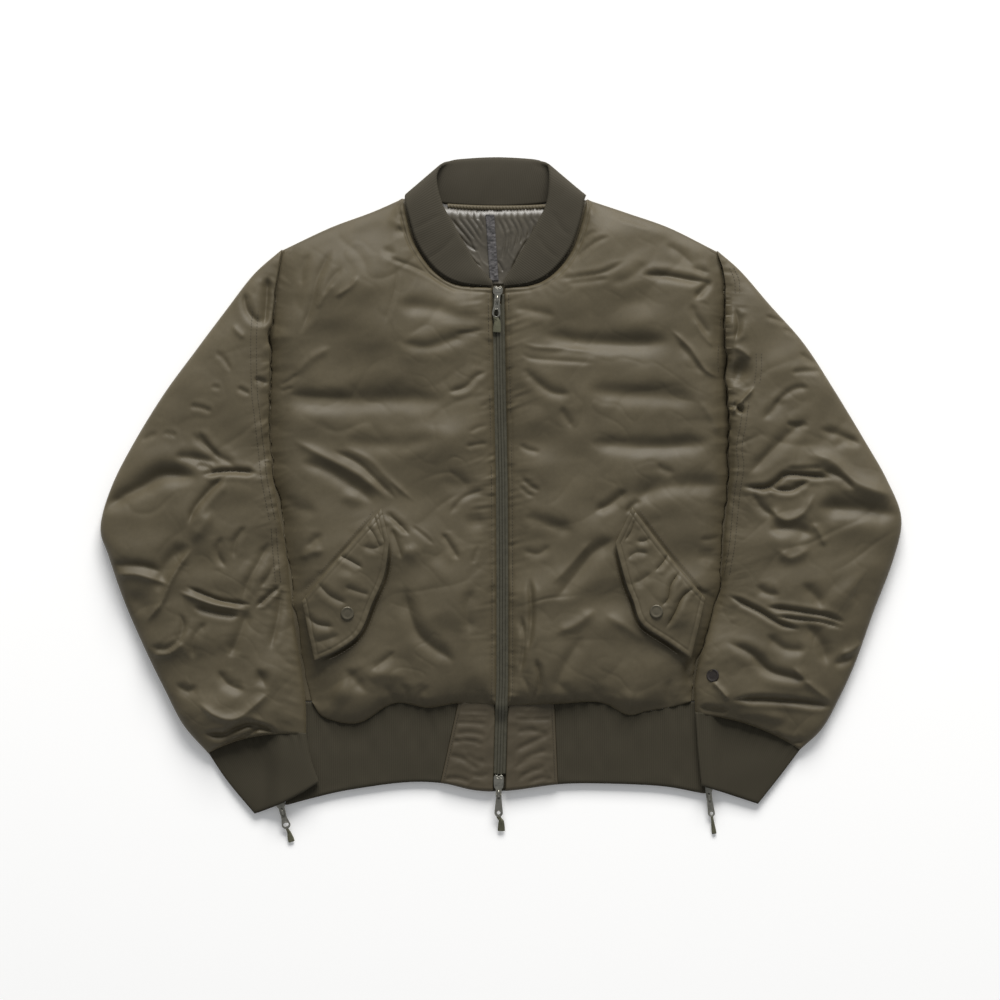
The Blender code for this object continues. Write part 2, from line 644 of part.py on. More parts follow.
def disc(name, x, y, radius, thick, lift, ground, finish):
    """Round piece with a softened rim, square to the surface under it."""
    z, normal = surface_of(ground)(x, y)
    mesh = bpy.data.meshes.new(name)
    work = bmesh.new()
    bmesh.ops.create_cone(
        work, cap_ends=True, segments=24, radius1=radius * MM, radius2=0.84 * radius * MM, depth=thick * MM
    )
    work.to_mesh(mesh)
    work.free()
    made = add_object(name, mesh, finish)
    made.rotation_mode = "QUATERNION"
    made.rotation_quaternion = Vector((0, 0, 1)).rotation_difference(normal)
    made.location = Vector((x * MM, y * MM, z * MM)) + normal * (lift + thick / 2) * MM
    return made


def helper(obj, target, operation):
    """Makes an object a hidden helper that joins or cuts another."""
    obj.hide_render = True
    obj.display_type = "WIRE"
    obj.parent = target
    change = target.modifiers.new(operation.lower(), "BOOLEAN")
    change.operation = operation
    change.object = obj


def box(name, low, high, finish):
    """Box between two corners, as an object."""
    mesh = bpy.data.meshes.new(name)
    work = bmesh.new()
    low, high = Vector(low) * MM, Vector(high) * MM
    place = Matrix.Translation((low + high) / 2) @ Matrix.Diagonal((*(high - low), 1))
    bmesh.ops.create_cube(work, size=1, matrix=place)
    work.to_mesh(mesh)
    work.free()
    return add_object(name, mesh, finish)


def make_slider_body(name, length, half_x):
    """Slider with a tongue at its mouth, and the bail that arches over the tongue."""
    deck = -HINGE_HEIGHT
    bar_low, bar_high = deck + BAIL_HEIGHT - BAIL_BAR, deck + BAIL_HEIGHT
    leg = BAIL_REACH - BAIL_LEG
    body = box(name, (-half_x, BODY_START, deck - SLIDER_THICK), (half_x, BODY_START + length, deck), METAL)
    tongue = (-TONGUE_HALF, -BODY_START, deck - TONGUE_THICK), (TONGUE_HALF, BODY_START + 1, deck)
    front_leg = (-BAIL_HALF_X, -BAIL_REACH, deck - 1), (BAIL_HALF_X, -leg, bar_high)
    back_leg = (-BAIL_HALF_X, leg, deck - 1), (BAIL_HALF_X, BAIL_REACH, bar_high)
    bar = (-BAIL_HALF_X, -leg - 0.5, bar_low), (BAIL_HALF_X, leg + 0.5, bar_high)
    for number, corners in enumerate((tongue, front_leg, back_leg, bar)):
        helper(box(f"{name}_join_{number}", *corners, METAL), body, "UNION")
    return body


def make_pull(name, length):
    """Flat pull that widens to a round end, with an eye for the bail and a ring for its tail."""
    arc = np.linspace(0, np.pi, 13)
    middle = -(length - PULL_END)
    side = [(PULL_NECK, CROSSBAR)]
    end = [(PULL_END * math.cos(a), middle - PULL_END * math.sin(a)) for a in arc]
    outline = side + end + [(-x, y) for x, y in side]
    count, half = len(outline), PULL_THICK / 2
    points = [(x, y, z) for z in (-half, half) for x, y in outline]
    faces = [tuple(range(count))[::-1], tuple(range(count, 2 * count))]
    faces += [(i, (i + 1) % count, (i + 1) % count + count, i + count) for i in range(count)]
    pull = outward(mesh_object(name, points, faces, METAL))
    eye = (-EYE_HALF, -EYE_LENGTH, -2), (EYE_HALF, -CROSSBAR, 2)
    helper(box(name + "_eye", *eye, METAL), pull, "DIFFERENCE")
    mesh = bpy.data.meshes.new(name + "_ring")
    work = bmesh.new()
    bmesh.ops.create_cone(
        work, cap_ends=True, segments=16, radius1=RING_RADIUS * MM, radius2=RING_RADIUS * MM,
        depth=4 * MM, matrix=Matrix.Translation((0, middle * MM, 0)),
    )
    work.to_mesh(mesh)
    work.free()
    helper(add_object(name + "_ring", mesh, METAL), pull, "DIFFERENCE")
    return pull


def make_slider(
    name, x, y, top, heading, length, half_x, pull_length, tilt, step, narrow, wide, tail_length, tail_tilt
):
    """Slider, and the pull and tail that turn on its bail."""
    place = bpy.data.objects.new(name + "_hinge", None)
    bpy.context.collection.objects.link(place)
    place.location = Vector((x, y, top + HINGE_HEIGHT)) * MM
    place.rotation_euler = (0, 0, math.radians(heading))
    make_slider_body("slider_" + name, length, half_x).parent = place
    pull = make_pull("pull_" + name, pull_length)
    pull.parent = place
    pull.rotation_euler = (math.radians(tilt), 0, 0)
    rows = np.array(((-wide / 2, wide / 2), (-narrow / 2, narrow / 2)))
    plan = np.dstack((rows, np.array(((-tail_length,) * 2, (0, 0)))))
    half = np.full((2, 2), TAIL_THICK / 2)
    tail = slab("tail_" + name, plan, -half, half, CORD)
    tail.parent = pull
    tail.location = Vector((step, -pull_length - 2 * GAP, 0)) * MM
    tail.rotation_euler = (math.radians(tail_tilt - tilt), 0, 0)


def main():
    for old in list(bpy.data.objects):
        bpy.data.objects.remove(old, do_unlink=True)
    make_back()
    fronts = {side: make_front(side) for side in ("right", "left")}
    sleeves = {side: make_sleeve(side) for side in ("right", "left")}
    flaps = {side: make_flap(side, fronts[side]) for side in ("right", "left")}
    for side in ("right", "left"):
        make_cuff(side)
    make_hem()
    make_zip()
    make_collar()
    make_lining()
    for name, x, y in SNAPS:
        disc(name, x, y, SNAP_RADIUS, SNAP_THICK, GAP, flaps[name[5:]], CAP)
    disc("sleeve_badge", *BADGE, 0.8, sleeves["left"], PATCH)
    for row in SLIDERS:
        make_slider(*row)


main()
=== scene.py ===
"""Looks of a padded nylon bomber jacket that lies flat on its back with its front zip closed.

Lengths in the tables are millimetres in the model's own frame: +X to the wearer's left, +Y to the
collar, +Z up out of the front. Meshes are built in millimetres and written in metres.
"""

from __future__ import annotations

import logging
import math
from dataclasses import dataclass, field
from enum import Enum
from typing import NamedTuple, Sequence

import bpy
import numpy as np
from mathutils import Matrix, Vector


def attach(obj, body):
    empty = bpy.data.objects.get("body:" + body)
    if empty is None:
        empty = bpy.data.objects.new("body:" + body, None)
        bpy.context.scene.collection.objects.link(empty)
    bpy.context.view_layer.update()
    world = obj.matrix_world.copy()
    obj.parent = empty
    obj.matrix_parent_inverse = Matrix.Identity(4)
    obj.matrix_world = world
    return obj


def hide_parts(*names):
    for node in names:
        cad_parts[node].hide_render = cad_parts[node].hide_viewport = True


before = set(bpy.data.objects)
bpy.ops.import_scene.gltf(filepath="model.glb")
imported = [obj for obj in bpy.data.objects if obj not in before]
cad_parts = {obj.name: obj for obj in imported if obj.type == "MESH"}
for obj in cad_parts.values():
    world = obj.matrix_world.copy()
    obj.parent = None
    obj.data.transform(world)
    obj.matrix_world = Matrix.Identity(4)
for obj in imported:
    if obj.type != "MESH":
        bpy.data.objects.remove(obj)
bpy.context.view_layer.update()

logging.basicConfig(level=logging.INFO, format="%(message)s")
LOG = logging.getLogger("jacket")
MM = 0.001
Array = np.ndarray
Line = Sequence[Sequence[float]]


class Side(Enum):
    """The wearer's right or left, with the sign of x there."""

    RIGHT = "right"
    LEFT = "left"

    @property
    def sign(self) -> int:
        """-1 on the right, +1 on the left."""
        return -1 if self is Side.RIGHT else 1


# ---------------------------------------------------------------- outlines, as in the part

SEAM = {
    Side.RIGHT: (
        (-213, -226), (-222, -186), (-230, -138), (-236, -90), (-243, -38), (-254, 24),
        (-260, 75), (-259, 131), (-258, 192), (-253, 240), (-245, 281.5),
    ),
    Side.LEFT: (
        (214, -226), (219, -186), (231, -143), (245, -100), (249, -42), (254, 10),
        (256, 75), (253, 131), (252, 192), (252, 245), (242, 280),
    ),
}
SHOULDER = {
    Side.RIGHT: ((-245, 281.5), (-192, 306.5), (-145, 324), (-111, 339)),
    Side.LEFT: ((242, 280), (190, 306), (145, 322), (97, 338)),
}
NECK = {
    Side.RIGHT: ((-111, 339), (-106, 317), (-97, 288), (-76, 258.5), (-50, 243), (-10, 239)),
    Side.LEFT: ((97, 338), (90, 309), (79, 279), (58, 254), (35, 242.5), (4, 239)),
}
BACK_NECK = ((-111, 339), (-60, 328.5), (-6, 327), (48, 330), (97, 338))
BLOUSE = {
    Side.RIGHT: ((-213, -226), (-198, -244), (-160, -250), (-120, -228), (-82, -233), (-48, -228),
                 (-5, -230)),
    Side.LEFT: ((214, -226), (192, -232), (163, -237), (142, -241), (111, -227), (60, -229),
                (8.5, -231)),
}
ZIP_LINE = ((-3, 239), (-1, 120), (1, 23), (1.6, -90), (1.5, -202), (-2, -326))
HEM_BOTTOM = (
    (-240, -342), (-206, -333), (-172, -325.5), (-111, -317), (-68, -317.5), (-27, -326),
    (10, -326), (64, -319), (111, -318), (180, -321), (226, -329),
)
HEM_SIDE = {
    Side.RIGHT: ((-243, -342), (-227, -290), (-222, -262), (-222, -226.4)),
    Side.LEFT: ((230, -329), (226, -290), (224, -262), (222, -226.4)),
}
FACING_EDGE = {Side.RIGHT: (-48.0, -68.0), Side.LEFT: (60.0, 64.0)}
KNIT_GAP = 0.3
# outer_x, outer_y, inner_x, inner_y, bow, height
SLEEVE_RINGS = {
    Side.RIGHT: (
        (-246.5, 282, -255.2, 24, -9, 26),
        (-278, 254, -252.5, 4, -5, 29),
        (-309, 214, -249.5, -12, 4, 31),
        (-345, 166, -246.5, -28, 14, 32),
        (-379, 119.5, -243.2, -45, 14, 32),
        (-412, 66, -240, -65, 10, 31),
        (-437.5, 16, -238, -85, 4, 31),
        (-450.1, -30, -235.8, -106, 0, 31),
        (-441, -62, -233.4, -126, -4, 31),
        (-423, -114, -230.4, -148, -4, 31),
        (-399, -169, -225.4, -180, 0, 30),
        (-378, -212, -221, -212, 4, 29),
        (-357, -252, -219, -238, 8, 26),
        (-329, -284, -219, -264, 9, 19),
    ),
    Side.LEFT: (
        (243.5, 280.5, 255.6, 12, -6, 26),
        (270, 257, 254, -8, -4, 29),
        (302, 220, 252, -26, 4, 31),
        (340, 177, 250.6, -42, 14, 32),
        (374, 125, 249.4, -60, 14, 32),
        (409, 67, 248, -80, 10, 31),
        (434, 23, 245.8, -100, 4, 31),
        (450, -20, 241.6, -114, 0, 31),
        (441, -66, 236.4, -130, -4, 31),
        (419, -124, 230.4, -150, -4, 31),
        (399, -180, 222.5, -178, 0, 30),
        (381, -220, 217.5, -206, 4, 29),
        (361, -256, 217.5, -224, 8, 26),
        (336, -280, 218, -240, 8, 19),
    ),
}
CUFF_RINGS = {
    Side.RIGHT: (
        (-331, -280.5, -219, -261, 9, 0),
        (-307, -316, -213, -292, 6, 0),
        (-277, -352, -204.5, -316, -3, 0),
    ),
    Side.LEFT: (
        (338, -277.5, 218, -237.5, 8, 0),
        (315, -308, 221, -281, 6, 0),
        (289, -341, 225, -320, 0, 0),
    ),
}
# sewn_x, sewn_y, free_x, free_y, height
COLLAR_ROWS = (
    (-9, 241.5, -11, 247, 15.2),
    (-48, 245.5, -29, 268, 16.6),
    (-74, 260.5, -40, 287, 17.0),
    (-94, 289, -52, 308, 17.0),
    (-103, 318, -66, 334, 17.0),
    (-107, 334, -72, 362, 14.6),
    (-106, 343, -66, 377, 9.2),
    (-98, 341, -57, 381.5, 3.6),
    (-62, 333.2, -45, 384, 2.1),
    (-6, 330, -5, 386, 2.1),
    (48, 333.5, 34, 384, 2.1),
    (84, 340, 44, 381.5, 3.6),
    (94, 342, 52, 377, 9.2),
    (93, 336.5, 54, 362, 15.4),
    (87, 309, 51, 334, 17.0),
    (76, 281, 38, 307, 17.0),
    (56, 257, 23, 280, 17.0),
    (34, 245.5, 13, 262, 16.6),
    (3, 241.5, 3, 247, 15.2),
)
LINING_EDGE = {
    Side.RIGHT: ((-12, 243.5), (-46, 248.5), (-70, 264), (-88, 292), (-96, 322)),
    Side.LEFT: ((6, 243.5), (32, 248.5), (52, 261), (71, 285), (82, 324)),
}
FLAP = {
    Side.RIGHT: (
        ((-134, -9), (-160, -40), (-192, -76), (-223, -113)),
        ((-125, -46), (-131, -84), (-144, -115), (-158, -148), (-180, -166), (-209, -180)),
    ),
    Side.LEFT: (
        ((147, -8), (170, -39), (196, -72), (229, -110)),
        ((128, -48), (140, -92), (148, -112), (158, -138), (188, -159), (213, -177)),
    ),
}

# Heights, as in the part.
BACK_TOP = 11.0
FRONT_LOW = BACK_TOP + 0.4
FRONT_EDGE, FRONT_CROWN, CROWN_REACH = 3.4, 15.5, 24.0
SLEEVE_EDGE, SLEEVE_WALL, SLIT = 7.0, 10.0, 2.6
RIB, HEM_BACK_TOP, HEM_FRONT_LOW, HEM_FRONT_TOP, FACING_TOP = 3.6, 3.8, 4.2, 7.8, 9.0
CUFF_OVER_HEM, CUFF_THICK, CUFF_RISE = 8.6, 8.2, (28.0, 6.0)
BODY_HEM_Y = -226.0
ZIP_HALF, CHAIN_HALF = 7.0, 3.0
ZIP_DROP = (-252.0, -228.0)


# ---------------------------------------------------------------- lines and grids


def even(count: int) -> Array:
    """count + 1 shares from 0 to 1."""
    return np.linspace(0, 1, count + 1)


def smooth(points: Line, shares: Array) -> Array:
    """Catmull-Rom line through the points, read at these shares of its length.

    Args:
        points: what the line passes through, in two or three dimensions.
        shares: where to read it, from 0 at its start to 1 at its end.

    Returns:
        One row for each share.
    """
    points = np.asarray(points, float)
    ends = np.vstack((2 * points[0] - points[1], points, 2 * points[-1] - points[-2]))
    t = np.linspace(0, 1, 24, endpoint=False)[:, None]
    a, b, c, d = (ends[i:len(ends) - 3 + i, None, :] for i in range(4))
    bend = (2 * a - 5 * b + 4 * c - d) * t**2 + (3 * b - a - 3 * c + d) * t**3
    line = (b + 0.5 * ((c - a) * t + bend)).reshape(-1, points.shape[1])
    line = np.vstack((line, points[-1:]))
    run = np.concatenate(([0], np.cumsum(np.linalg.norm(np.diff(line, axis=0), axis=1))))
    return np.column_stack([np.interp(np.asarray(shares) * run[-1], run, c) for c in line.T])


def length_of(line: Array) -> float:
    """Length of a line of points."""
    return float(np.linalg.norm(np.diff(line, axis=0), axis=1).sum())


def rows_between(rows: Line, shares: Array) -> Array:
    """Table rows read from Catmull-Rom lines through each column, at these shares of the table.

    Args:
        rows: the table.
        shares: where to read it, from 0 at its first row to 1 at its last.

    Returns:
        One row for each share.
    """
    rows = np.asarray(rows, float)
    place = np.clip(shares, 0, 1) * (len(rows) - 1)
    span = np.minimum(place.astype(int), len(rows) - 2)
    t = (place - span)[:, None]
    ends = np.vstack((2 * rows[0] - rows[1], rows, 2 * rows[-1] - rows[-2]))
    a, b, c, d = (ends[span + i] for i in range(4))
    bend = (2 * a - 5 * b + 4 * c - d) * t**2 + (3 * b - a - 3 * c + d) * t**3
    return b + 0.5 * ((c - a) * t + bend)


def coons(bottom: Array, top: Array, start: Array, end: Array) -> Array:
    """Grid between four border lines: the two ruled surfaces added, less the corners' bilinear one.

    Args:
        bottom: border at v = 0.
        top: border at v = 1.
        start: border at u = 0, from bottom to top.
        end: border at u = 1, from bottom to top.

    Returns:
        Grid of points, a row for each point of start.
    """
    u = even(len(bottom) - 1)[None, :, None]
    v = even(len(start) - 1)[:, None, None]
    across = (1 - v) * bottom[None] + v * top[None]
    along = (1 - u) * start[:, None] + u * end[:, None]
    corners = (1 - v) * ((1 - u) * bottom[0] + u * bottom[-1]) + v * ((1 - u) * top[0] + u * top[-1])
    return across + along - corners


class Nearest(NamedTuple):
    """What a line is to each point: distance, signed side (left is positive) and run along it."""

    distance: Array
    side: Array
    along: Array


def nearest_on(line: Array, points: Array) -> Nearest:
    """Nearest stretch of a line to each point of an (n, 2) array, in blocks to keep memory small.

    Args:
        line: (m, 2) points of the line.
        points: (n, 2) plan points.

    Returns:
        What the line is to each point.
    """
    start, run = line[:-1], np.diff(line, axis=0)
    size = np.maximum((run * run).sum(1), 1e-9)
    before = np.concatenate(([0], np.cumsum(np.sqrt(size))))[:-1]
    parts = []
    for block in np.array_split(points, max(1, len(points) * len(run) // 4_000_000 + 1)):
        to = block[:, None, :] - start
        share = np.clip((to * run).sum(-1) / size, 0, 1)
        gap = np.linalg.norm(to - share[..., None] * run, axis=-1)
        best = gap.argmin(1)
        row = np.arange(len(block))
        cross = run[best, 0] * to[row, best, 1] - run[best, 1] * to[row, best, 0]
        distance = gap[row, best]
        along = before[best] + share[row, best] * np.sqrt(size[best])
        parts.append(np.column_stack((distance, np.where(cross < 0, -distance, distance), along)))
    return Nearest(*np.vstack(parts).T)


def ease(x: Array) -> Array:
    """Smooth step from 0 to 1 as x goes from 0 to 1."""
    x = np.clip(x, 0, 1)
    return x * x * (3 - 2 * x)


def roll(distance: Array, radius: Array | float) -> Array:
    """Quarter circle: 0 at an edge, 1 at radius from it and beyond."""
    return np.sqrt(np.maximum(1 - (1 - np.minimum(distance / radius, 1)) ** 2, 0))


def zip_x(y: Array | float) -> Array:
    """Where the middle of the front zip is at each height of the jacket."""
    line = np.array(ZIP_LINE)[::-1]
    return np.interp(y, line[:, 1], line[:, 0])


def seam_line(side: Side, shares: Array) -> Array:
    """Seam between body and sleeve, from the hem to the shoulder, drawn in unevenly by its stitching.

    Args:
        side: which seam.
        shares: where to read it, from 0 at the hem to 1 at the shoulder.

    Returns:
        (n, 2) plan points.
    """
    line = smooth(SEAM[side], shares)
    run = np.column_stack((line[:, 1], np.zeros(len(line))))
    uneven = 2.0 * noise(run, 23, 5 + side.sign) + 1.3 * noise(run, 9, 8 + side.sign)
    line[:, 0] += uneven * ease(shares * 8) * ease((1 - shares) * 8)
    return line


def seam_x(side: Side, y: Array) -> Array:
    """Where the seam between body and sleeve is at each height of the jacket."""
    line = seam_line(side, even(200))
    return np.interp(y, line[:, 1], line[:, 0])


def hem_bottom(x: Array | float) -> Array:
    """Lower edge of the hem band."""
    line = smooth(HEM_BOTTOM, even(80))
    return np.interp(x, line[:, 0], line[:, 1])


# ---------------------------------------------------------------- noise and folds


def noise(points: Array, pitch: float, seed: int, stretch: tuple[float, float] = (1, 0)) -> Array:
    """Smooth value noise from -1 to 1: random numbers on a lattice, blended with cosine weights.

    Args:
        points: (n, 2) plan points.
        pitch: lattice spacing.
        seed: fixes the random numbers.
        stretch: how much longer the pattern is along a direction, and that direction in degrees.

    Returns:
        One value for each point.
    """
    longer, turn = stretch
    turn = math.radians(turn)
    along = (points[:, 0] * math.cos(turn) + points[:, 1] * math.sin(turn)) / (pitch * longer)
    side = (points[:, 1] * math.cos(turn) - points[:, 0] * math.sin(turn)) / pitch
    lattice = np.random.default_rng(seed).uniform(-1, 1, (64, 64))
    i, j = np.floor(along).astype(int), np.floor(side).astype(int)
    u, v = ease(along - i), ease(side - j)
    a, b = lattice[i % 64, j % 64], lattice[(i + 1) % 64, j % 64]
    c, d = lattice[i % 64, (j + 1) % 64], lattice[(i + 1) % 64, (j + 1) % 64]
    return (a * (1 - u) + b * u) * (1 - v) + (c * (1 - u) + d * u) * v


def crumple(points: Array, pitch: float, seed: int, stretch: tuple[float, float] = (1, 0)) -> Array:
    """Ridged noise, from 0 in the flats to 1 along its thin creases.

    Args:
        points: (n, 2) plan points.
        pitch: spacing of the creases.
        seed: fixes the random numbers.
        stretch: as for noise.

    Returns:
        One value for each point.
    """
    bent = points + 0.35 * pitch * np.column_stack(
        (noise(points, pitch * 1.3, seed + 1), noise(points, pitch * 1.3, seed + 2))
    )
    return np.maximum(1 - 2.6 * np.abs(noise(bent, pitch, seed, stretch)), 0) ** 1.6


class Crease(NamedTuple):
    """A fold along a line: a trough (depth above 0) or a ridge, with shoulders beside it.

    lean above 0 raises the shoulder on the line's left, below 0 the one on its right.
    sharp is 1 for a pinched fold and 2 for a soft one.
    """

    width: float
    depth: float
    shoulder: float
    lean: float
    sharp: float
    path: tuple[tuple[float, float], ...]


def creases(*rows: tuple[float, ...]) -> tuple[Crease, ...]:
    """Creases from rows of width, depth, shoulder, lean, sharp, then x and y of each point of the path."""
    return tuple(Crease(*row[:5], tuple(zip(row[5::2], row[6::2]))) for row in rows)


def crease_height(points: Array, folds: Sequence[Crease]) -> Array:
    """Sum of the folds at each point.

    Across a crease, with x the distance over its width, the height is -depth times exp(-|x|^sharp),
    plus a bell on each side at x = 2. Along it, both width and depth fade at the ends.

    Args:
        points: (n, 2) plan points.
        folds: the creases to add up.

    Returns:
        Height to add at each point.
    """
    total = np.zeros(len(points))
    for crease in folds:
        line = smooth(crease.path, even(max(6, int(length_of(np.array(crease.path, float)) / 4))))
        reach = 5 * crease.width
        near = np.flatnonzero(
            ((points > line.min(0) - reach) & (points < line.max(0) + reach)).all(1)
        )
        if not len(near):
            continue
        found = nearest_on(line, points[near])
        length = length_of(line)
        fade_run = min(max(2.2 * crease.width, 0.22 * length), 0.5 * length)
        fade = ease(np.minimum(found.along, length - found.along) / fade_run + 0.05)
        width = crease.width * (0.55 + 0.45 * fade)
        x = found.side / width
        core = np.exp(-np.abs(x) ** crease.sharp)
        beside = [
            np.exp(-(((x - sign * 2) / 1.3) ** 2)) * 0.6 * crease.shoulder * (1 + sign * crease.lean)
            for sign in (1, -1)
        ]
        broad = 1 + 0.4 * min(max((crease.width - 3) / 5, 0), 1)
        total[near] += broad * crease.depth * fade * (beside[0] + beside[1] - core)
    return total


def puckers(found: Nearest, pitch: float, reach: float, seed: int, patchy: float = 0.5) -> Array:
    """Small gathers along a seam: uneven ripples square to it that fade over reach, in groups.

    Args:
        found: what the seam is to each point.
        pitch: spacing of the gathers.
        reach: how far from the seam they fade.
        seed: fixes the random numbers.
        patchy: 0 for even gathers, 1 for separate groups.

    Returns:
        Height to add at each point.
    """
    run = np.column_stack((found.along, np.zeros_like(found.along)))
    slant = 0.5 * noise(run, 6 * pitch, seed + 5)
    place = np.column_stack((found.along + slant * found.distance, 0.2 * found.distance))
    wave = noise(place, 0.45 * pitch, seed)
    group = 1 - patchy + patchy * noise(run, 4 * pitch, seed + 9)
    return 1.5 * wave * group * np.exp(-found.distance / reach)


# ---------------------------------------------------------------- meshes


def write_mesh(
    name: str, points: Array, faces: Sequence[Array], finish: Finish, uv: Array | None = None
) -> bpy.types.Object:
    """Puts points (in millimetres) and faces into a new object.

    Args:
        name: the piece's name.
        points: (n, 3) array.
        faces: arrays of one face size each, (m, 3), (m, 4) or (1, n) for a large flat face.
        finish: what the piece is made of.
        uv: (n, 2) pattern coordinates in metres, for a map named pattern.

    Returns:
        The new object, at the origin, shaded smooth.
    """
    mesh = bpy.data.meshes.new(name)
    sizes = np.concatenate([np.full(len(f), f.shape[1]) for f in faces])
    corners = np.concatenate([f.ravel() for f in faces]).astype(np.int32)
    mesh.vertices.add(len(points))
    mesh.vertices.foreach_set("co", (points * MM).astype(np.float32).ravel())
    mesh.loops.add(len(corners))
    mesh.loops.foreach_set("vertex_index", corners)
    mesh.polygons.add(len(sizes))
    starts = np.concatenate(([0], np.cumsum(sizes)[:-1])).astype(np.int32)
    mesh.polygons.foreach_set("loop_start", starts)
    mesh.polygons.foreach_set("loop_total", sizes.astype(np.int32))
    mesh.polygons.foreach_set("use_smooth", np.ones(len(sizes), bool))
    if uv is not None:
        layer = mesh.uv_layers.new(name="pattern")
        layer.data.foreach_set("uv", uv[corners].astype(np.float32).ravel())
    mesh.update(calc_edges=True)
    mesh.validate()
    made = bpy.data.objects.new(name, mesh)
    bpy.context.scene.collection.objects.link(made)
    mesh.materials.append(finish.material())
    return made


def settle(
    piece: bpy.types.Object, nodes: Sequence[str] = (), body: str = "root"
) -> bpy.types.Object:
    """Rides a finished piece on its body and the nodes it stands for, and logs it.

    Args:
        piece: the finished piece.
        nodes: nodes of the part that it stands for.
        body: body it rides on.

    Returns:
        The same piece.
    """
    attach(piece, body)
    if nodes:
        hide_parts(*nodes)
    LOG.info("%-22s %7d faces on %s", piece.name, len(piece.data.polygons), body)
    return piece


def quads(rows: int, cols: int, first: int = 0, wrap: bool = False) -> Array:
    """Faces of a grid of points numbered row by row, as an (m, 4) array.

    Args:
        rows: number of rows.
        cols: points in a row.
        first: number of the first point.
        wrap: joins the last column to the first.

    Returns:
        Four point numbers for each face.
    """
    index = np.arange(rows * cols).reshape(rows, cols) + first
    if wrap:
        index = np.hstack((index, index[:, :1]))
    return np.stack((index[:-1, :-1], index[:-1, 1:], index[1:, 1:], index[1:, :-1]), -1).reshape(-1, 4)


def rim_of(rows: int, cols: int) -> Array:
    """Indices of a grid's border, once round, anticlockwise in (column, row)."""
    index = np.arange(rows * cols).reshape(rows, cols)
    return np.concatenate((index[0], index[1:, -1], index[-1, -2::-1], index[-2:0:-1, 0]))


def panel(name: str, top: Array, low: float | Array, finish: Finish, tuck: float = 1.2) -> bpy.types.Object:
    """Closed padded panel: a dense top, a side that rolls under, and a flat underside.

    Args:
        name: the piece's name.
        top: (rows, cols, 3) grid of the top, anticlockwise seen from above.
        low: height of the underside.
        finish: what the piece is made of.
        tuck: how far the underside's edge lies inside the top's.

    Returns:
        The closed piece.
    """
    rows, cols = top.shape[:2]
    rim = rim_of(rows, cols)
    flat = top.reshape(-1, 3)
    edge = flat[rim]
    ahead, behind = np.roll(edge, -2, axis=0)[:, :2], np.roll(edge, 2, axis=0)[:, :2]
    run = ahead - behind
    inward = np.column_stack((-run[:, 1], run[:, 0])) / np.maximum(np.linalg.norm(run, axis=1), 1e-9)[:, None]
    rings = [edge]
    for share in (0.5, 1.0):
        ring = edge.copy()
        ring[:, :2] += inward * tuck * share**2
        ring[:, 2] = edge[:, 2] + (low - edge[:, 2]) * share
        rings.append(ring)
    points = np.vstack([flat] + rings[1:])
    count = len(rim)
    bands = [rim, np.arange(count) + rows * cols, np.arange(count) + rows * cols + count]
    faces = [quads(rows, cols)]
    for above, below in zip(bands, bands[1:]):
        faces.append(np.column_stack((np.roll(above, -1), above, below, np.roll(below, -1))))
    faces.append(bands[-1][::-1][None])
    return write_mesh(name, points, faces, finish, points[:, :2] * MM)


def wall(
    name: str, middle: Array, thick: Array | float, finish: Finish, uv: Array | None = None
) -> bpy.types.Object:
    """Closed wall of even thickness about a grid of points, along the grid's own normals.

    Args:
        name: the piece's name.
        middle: (rows, cols, 3) grid of the middle surface.
        thick: thickness, one for all or one for each point.
        finish: what the piece is made of.
        uv: (n, 2) pattern coordinates in metres.

    Returns:
        The closed piece.
    """
    rows, cols = middle.shape[:2]
    du, dv = np.gradient(middle, axis=1), np.gradient(middle, axis=0)
    normal = np.cross(du, dv)
    normal /= np.maximum(np.linalg.norm(normal, axis=2, keepdims=True), 1e-9)
    half = np.asarray(thick)[..., None] / 2 if np.ndim(thick) else thick / 2
    points = np.vstack(((middle + normal * half).reshape(-1, 3), (middle - normal * half).reshape(-1, 3)))
    count = rows * cols
    rim = rim_of(rows, cols)
    side = np.column_stack((np.roll(rim, -1), rim, rim + count, np.roll(rim, -1) + count))
    faces = [quads(rows, cols), quads(rows, cols, count)[:, ::-1], side]
    uv = np.vstack((uv, uv)) if uv is not None else None
    return write_mesh(name, points, faces, finish, uv)


